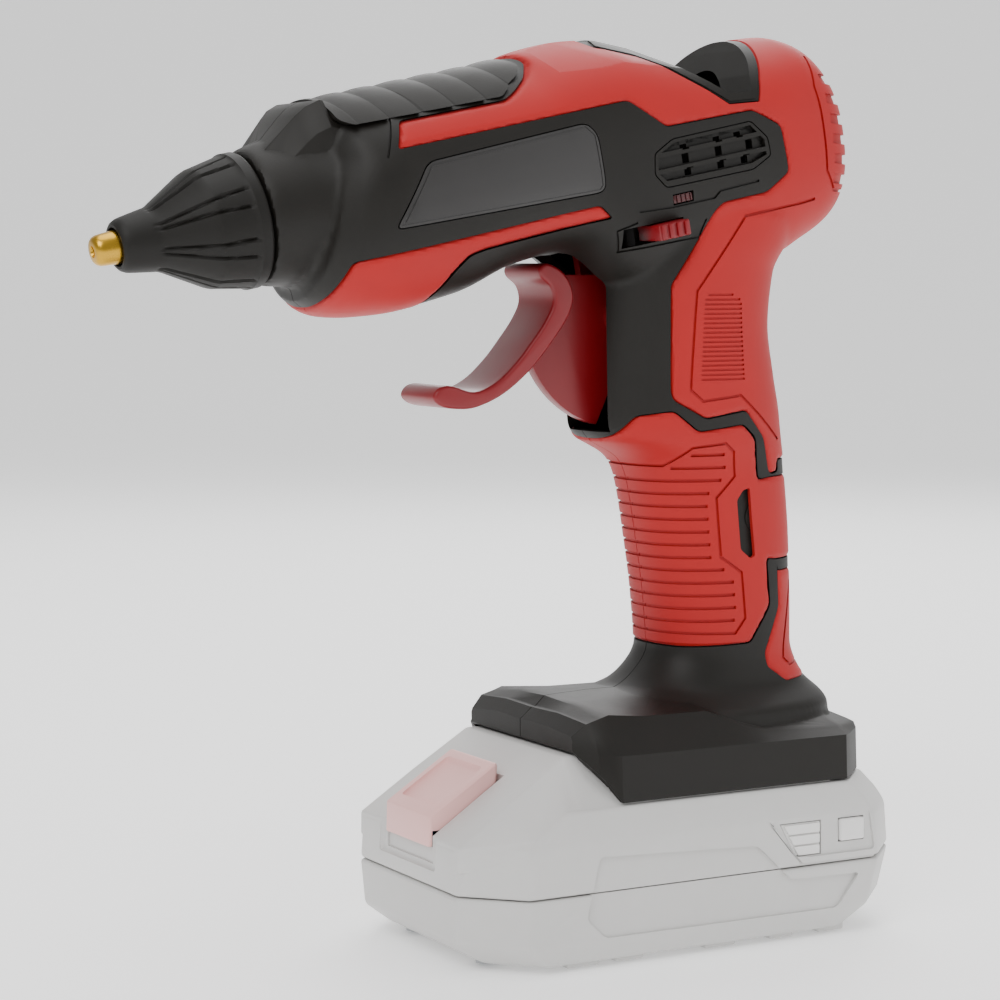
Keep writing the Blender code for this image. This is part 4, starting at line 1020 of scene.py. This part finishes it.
piece("finger_trigger", lever, "trigger", "red_trigger_plastic", ("trigger",), sharp=45)
print("trigger drawn")


# %% Power knob and lamp
def knob():
    low, high = (KNOB_U - 4.4, -27.6, KNOB_V - 1.9), (KNOB_U + 4.4, -17.6, KNOB_V + 1.9)
    made = bevelled(box(low, high, BARREL), 0.35, 2)
    ribs = [bevelled(box((KNOB_U - 4.0 + 2.2 * k, -28.2, KNOB_V - 1.75),
                         (KNOB_U - 2.6 + 2.2 * k, -26.0, KNOB_V + 1.75), BARREL), 0.3, 2) for k in range(4)]
    foot = box((KNOB_U - 2.6, -18.6, KNOB_V - 1.9), (KNOB_U + 7.5, -17.2, KNOB_V + 3.2), BARREL)
    return join(made, foot, *ribs)


piece("power_knob", knob(), "knob", "red_trigger_plastic", ("switch_knob",), sharp=45)
lamp = bevelled(box((137.5, -24.9, -15.7), (143.0, -21.0, -13.7), BARREL), 0.3, 2)
for k in range(4):
    cut(lamp, box((138.2 + 1.3 * k, -26.0, -16.0), (138.6 + 1.3 * k, -24.6, -13.4), BARREL))
piece("lamp_lens", lamp, "tool", "red_lens", ("led_lens",))
print("knob and lamp fitted")


# %% The scoop's liner
def liner():
    under = []
    for i, (u, v) in enumerate(SCOOP_FLOOR):
        before = Vector(SCOOP_FLOOR[max(i - 1, 0)])
        after = Vector(SCOOP_FLOOR[min(i + 1, len(SCOOP_FLOOR) - 1)])
        along = (after - before).normalized()
        under.append((u + along.y * 2.0, v - along.x * 2.0))
    lift = [(u, v + 0.02) for u, v in SCOOP_FLOOR]
    sheet = common(plate(on_barrel(lift + under[::-1]), -FAR, FAR), form_at(0.0))
    return cut(sheet, box((151.5, -6.5, -5.0), (163.6, 6.5, 9.6), BARREL), scoop_eye())


piece("scoop_liner", liner(), "tool", "black_plastic", ("inlet_liner",))
print("liner fitted")


# %% Screws with a star recess
def star(radius, inner, points=6):
    return [(reach * cos(pi * k / points), reach * sin(pi * k / points))
            for k, reach in enumerate([radius, inner] * points)]


for number, ((x, z), seat) in enumerate(zip(SCREWS, SCREW_SEATS), 1):
    head = bevelled(rod((x, seat, z), (x, seat + 2.2, z), 2.9), 0.4, 3, 60)
    join(head, rod((x, -9.0, z), (x, seat + 0.4, z), 1.5))
    cut(head, plate([(x + a, z + b) for a, b in softened(star(1.5, 1.0), 0.3, 2)], seat + 1.0, seat + 5.0))
    piece("shell_screw_%d" % number, head, "tool", "steel", ("housing_screw_%d" % number,), sharp=50)
print(len(SCREWS), "shell screws")


# %% The return spring, drawn at rest; on the gun the carriage presses it together as it comes forward
def coil(start, end, radius, wire, turns):
    """A round-wire spring along the stick's axis."""
    rings = []
    steps = int(turns * 24)
    for k in range(steps + 1):
        a = 2 * pi * turns * k / steps
        u = start + (end - start) * k / steps
        wire_turn = [2 * pi * i / 8 for i in range(8)]
        rings.append([(u + wire * cos(b), (radius + wire * sin(b)) * cos(a),
                       (radius + wire * sin(b)) * sin(a)) for b in wire_turn])
    return skin(rings, BARREL)


SPRING_SEAT = 95.2
low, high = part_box("return_spring")
spring_length = (high[0] - low[0]) / MM / cos(TILT) - 4.6
spring = piece("carriage_spring", coil(SPRING_SEAT, SPRING_SEAT + spring_length, 8.0, 0.5, 5), "tool",
               "steel", ("return_spring",))
seat = on_barrel([(SPRING_SEAT, 0.0)])[0]
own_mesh(spring)
print("spring is", round(spring_length, 1), "mm long at rest")

# %% [markdown]
# ## Battery pack
# Two pale shells meet on a fine line.  The lower one is a tray with feet, the upper one climbs in a
# ramp to the rails under the gun's foot and carries the latch button, a sunk label and the gauge.

# %% Pack shells
SEAM = 18.3
BASE = ((0.9, -51.0, 52.6, 33.6, 11.0), (2.0, -53.6, 55.2, 35.0, 12.0), (7.0, -60.2, 62.4, 37.0, 13.0),
        (SEAM - 0.15, -60.9, 64.8, 37.9, 13.0))
TOP = ((SEAM + 0.15, -60.9, 64.8, 37.9, 13.0), (29.6, -60.4, 64.2, 37.4, 13.0),
       (33.0, -55.6, 62.6, 35.6, 13.0), (37.6, -46.0, 58.6, 33.2, 12.0))
# X, top Z, top half width, flank Z, flank half width.
RAMP = ((-60.2, 30.2, 25.4, 29.6, 26.0), (-46.0, 39.6, 24.8, 31.6, 35.4), (-31.2, 49.0, 24.2, 34.6, 34.2),
        (-24.0, 49.0, 24.2, 36.0, 33.2), (-12.0, 49.0, 24.2, 36.4, 32.6), (-10.0, 47.2, 24.2, 36.4, 32.6),
        (42.0, 47.2, 24.2, 36.4, 32.6))


def tray(stations, inward=0.0, low=None, high=None):
    rings = []
    for index, (z, front, rear, half, chamfer) in enumerate(stations):
        front, rear, half = front + inward, rear - inward, half - inward
        z = low if index == 0 and low is not None else z
        z = high if index == len(stations) - 1 and high is not None else z
        plan = [(front + chamfer, -half), (rear - chamfer, -half), (rear, chamfer - half)]
        plan += [(x, -y) for x, y in reversed(plan)]
        plan += [(front, half - chamfer), (front, chamfer - half)]
        rings.append([(x, y, z) for x, y in plan])
    return skin(rings)


def side_plates(outline, depth_y):
    """Plates that reach in from both flanks of the pack as far as depth_y from the middle."""
    return [plate(outline, side * depth_y, side * FAR) for _, side in SIDES]


PACK_LABEL = softened([(-29.0, 27.0), (15.9, 25.0), (25.8, 15.6), (46.8, 15.2), (40.4, 6.8), (-27.0, 7.2),
                       (-32.5, 12.4)], 1.6)
PACK_STEP = [(-45.9, 31.7), (-10.4, 31.6), (13.8, 31.4), (19.1, 30.6), (29.1, 18.9), (53.0, 18.9)]
GAUGE_FIELD = softened([(20.0, 29.6), (23.0, 31.2), (49.6, 31.2), (51.2, 20.6), (31.0, 20.6),
                        (26.4, 21.8)], 1.4)
GAUGE = [(22.8, 29.4), (35.2, 29.4), (35.2, 20.9), (27.5, 20.9)]
PACK_SCREWS = ((-48.6, -18.0, 2.2), (-48.6, 18.0, 2.2), (58.0, -16.0, 8.6), (58.0, 16.0, 8.6))


def upright(x, y, low, high, radius, segments=32):
    return rod((x, y, low), (x, y, high), radius, segments=segments)


def lower_shell():
    made = bevelled(tray(BASE), 1.6, 3, 8)
    feet = []
    for x, length in ((-31.0, 9.0), (-18.0, 8.0), (8.0, 9.0), (26.0, 7.0), (41.0, 8.0)):
        for _, side in SIDES:
            low, high = sorted((side * 20.0, side * 33.4))
            feet.append(bevelled(box((x - length / 2, low, 0.02), (x + length / 2, high, 2.4)), 0.5, 2))
    join(made, *feet)
    cut(made, tray(BASE[1:], 2.4, 2.6, SEAM + 5.0))
    label = group(side_plates(PACK_LABEL, 30.0))
    cut(made, cut(label, tray([(-5.0, *BASE[2][1:]), BASE[2], (40.0, *BASE[3][1:])], 0.6)))
    for x, y, seat in PACK_SCREWS:
        join(made, upright(x, y, max(seat - 2.0, 1.2), SEAM - 0.15, 3.5))
        cut(made, upright(x, y, seat - 1, SEAM + 5, 1.8), upright(x, y, -5.0, seat, 3.2))
    return made


def upper_shell():
    made = bevelled(tray(TOP), 1.2, 3, 8)
    ramp = skin([[(x, -low, z_low), (x, -half, z), (x, half, z), (x, low, z_low), (x, low, 24.0),
                  (x, -low, 24.0)] for x, z, half, z_low, low in RAMP])
    join(made, bevelled(ramp, 0.9, 3, 12))
    cut(made, tray([(z, *rest) for z, *rest in TOP[:3]], 2.4, SEAM - 5.0, 31.0))
    return made


BUTTON = [(-60.7, 27.7), (-60.5, 35.2), (-42.4, 46.6), (-40.8, 45.4), (-43.4, 35.4), (-50.0, 27.7)]
BUTTON_WAY = [(-62.0, 36.0), (-42.4, 47.6), (-40.3, 45.8), (-40.3, 41.0), (-43.0, 31.0), (-50.0, 27.6),
              (-59.3, 27.6), (-59.3, 23.8), (-63.0, 23.8), (-63.0, 36.0)]
print("pack profiles ready")

# %% Pack details
lower = lower_shell()
upper = upper_shell()
pocket = plate(BUTTON_WAY, -11.75, 11.75)
well = box((-59.0, -11.7, 27.8), (-43.0, 11.7, 34.0))
front_bay = box((-62.5, -14.6, 22.4), (-59.8, 14.6, 35.6))
cut(upper, pocket, well, bevelled(front_bay, 0.8, 2))
join(upper, box((-60.0, -5.0, 18.7), (-47.5, 5.0, 20.8)))
details = side_plates(GAUGE_FIELD, 30.0) + side_plates(strip(PACK_STEP, 0.7), 28.0)
for sunk, depth in ((details, 0.5), (side_plates(PACK_LABEL, 30.0), 0.7)):
    cut(upper, cut(group(sunk), tray([(10.0, *TOP[0][1:]), (29.6, *TOP[1][1:]), (45.0, *TOP[1][1:])], depth)))
cut(upper, box((40.3, -47.0, 23.3), (48.1, -33.2, 29.3)), plate(GAUGE, -47.0, -35.5))
for x, y, seat in PACK_SCREWS:
    join(upper, upright(x, y, SEAM + 0.15, 30.0, 3.5))
    cut(upper, upright(x, y, SEAM - 1, 28.0, 1.6))
piece("pack_lower_shell", lower, "pack", "pale_grey_plastic", ("pack_base",), sharp=50)
piece("pack_upper_shell", upper, "pack", "pale_grey_plastic", ("pack_top",), sharp=50)
print("pack shells cut")

# %% Latch button, gauge and its button
button = bevelled(plate(BUTTON, -11.4, 11.4), 0.7, 3, 25)
under = [(-59.7, 20.0), (-40.0, 20.0), (-40.0, 35.4), (-43.4, 35.4), (-50.0, 31.6), (-59.7, 31.6)]
cut(button, plate(under, -20.0, 20.0))
dish = [(-57.6, 35.6), (-44.6, 43.8), (-44.6, 50.0), (-57.6, 50.0)]
cut(button, bevelled(plate(dish, -8.8, 8.8), 0.9, 3, 25))
for _, side in SIDES:
    corner = [(-43.6, side * 12.5), (-38.0, side * 12.5), (-38.0, side * 6.0)]
    cut(button, skin([[(x, y, z) for x, y in corner] for z in (33.0, 50.0)]))
piece("latch_button", button, "latch", "pale_red_plastic", ("pack_button",), sharp=50)
bars = [plate([(24.0 + 1.5 * k, 28.8 - 2.7 * k), (34.6, 28.8 - 2.7 * k), (34.6, 26.6 - 2.7 * k),
               (25.3 + 1.5 * k, 26.6 - 2.7 * k)], -37.3, -36.2) for k in range(3)]
gauge = join(plate(inset(GAUGE, 0.3), -36.6, -35.7), *[bevelled(bar, 0.15, 2) for bar in bars])
piece("gauge_bars", gauge, "pack", "pale_grey_plastic", ("charge_gauge",), PALE_LABEL, sharp=50)
press = bevelled(box((40.6, -37.9, 23.6), (47.8, -33.5, 29.0)), 0.5, 3)
piece("gauge_press", press, "gauge_button", "pale_grey_plastic", ("charge_button",), PALE_LABEL, sharp=50)
print("button and gauge fitted")

# %% [markdown]
# ## Floor, light and camera
# A pale floor swept up behind, a large soft light from the upper left, and a weaker one opposite.

# %% Stage
HEADING = radians(29.3)  # of the camera, and square to it the floor


def sweep():
    """A floor that curves up into a backdrop far behind."""
    half, back, radius = 3.0, 2.6, 1.2
    line = [(-2.5, -0.0006), (back - radius, -0.0006)]
    line += [(back - radius + radius * sin(a), radius * (1 - cos(a)) - 0.0006)
             for a in np.linspace(0.1, pi / 2, 12)] + [(back, 3.5)]
    shape = bmesh.new()
    rows = [[shape.verts.new((x, y, z)) for x in (-half, half)] for y, z in line]
    for near, far in zip(rows, rows[1:]):
        shape.faces.new((near[0], near[1], far[1], far[0]))
    mesh = mesh_of("floor", shape)
    mesh.shade_smooth()
    made = linked("floor", mesh)
    made.rotation_euler = (0, 0, -HEADING)
    material = bpy.data.materials.new("white_paper")
    material.use_nodes = True
    shader = material.node_tree.nodes["Principled BSDF"]
    shader.inputs["Base Color"].default_value = linear("#FFFFFF")
    shader.inputs["Roughness"].default_value = 0.9
    shader.inputs["Emission Color"].default_value = linear("#FFFFFF")
    shader.inputs["Emission Strength"].default_value = 0.35
    mesh.materials.append(material)
    return made


def softbox(name, place, width, power):
    """A square light that looks at the middle of the tool."""
    data = bpy.data.lights.new(name, "AREA")
    data.shape = "SQUARE"
    data.size = width
    data.energy = power
    made = linked(name, data)
    made.location = place
    made.rotation_euler = (MIDDLE - Vector(place)).to_track_quat("-Z", "Y").to_euler()


sweep()
MIDDLE = Vector((-0.03, 0.0, 0.12))
softbox("key", (-0.75, -0.55, 0.95), 0.7, 8.5)
softbox("fill", (0.75, -0.75, 0.45), 0.8, 2.4)
softbox("top", (0.05, 0.1, 1.2), 0.9, 8.0)
softbox("rear", (0.6, 0.8, 0.8), 0.7, 7.0)
world = bpy.data.worlds.new("studio")
world.use_nodes = True
world.node_tree.nodes["Background"].inputs["Color"].default_value = linear("#FFFFFF")
world.node_tree.nodes["Background"].inputs["Strength"].default_value = 0.55
bpy.context.scene.world = world
print("stage lit")

# %% Camera
PITCH = radians(5.0)
lens = bpy.data.cameras.new("camera")
lens.lens = 98.64
lens.sensor_width = 36.0
camera = linked("camera", lens)
camera.location = (-0.35978, -0.579, 0.16676)
look = Vector((sin(HEADING) * cos(PITCH), cos(HEADING) * cos(PITCH), -sin(PITCH)))
camera.rotation_euler = look.to_track_quat("-Z", "Y").to_euler()
bpy.context.scene.camera = camera
print("camera set")

# %% Put the drawing solids away
bpy.data.objects.remove(form)
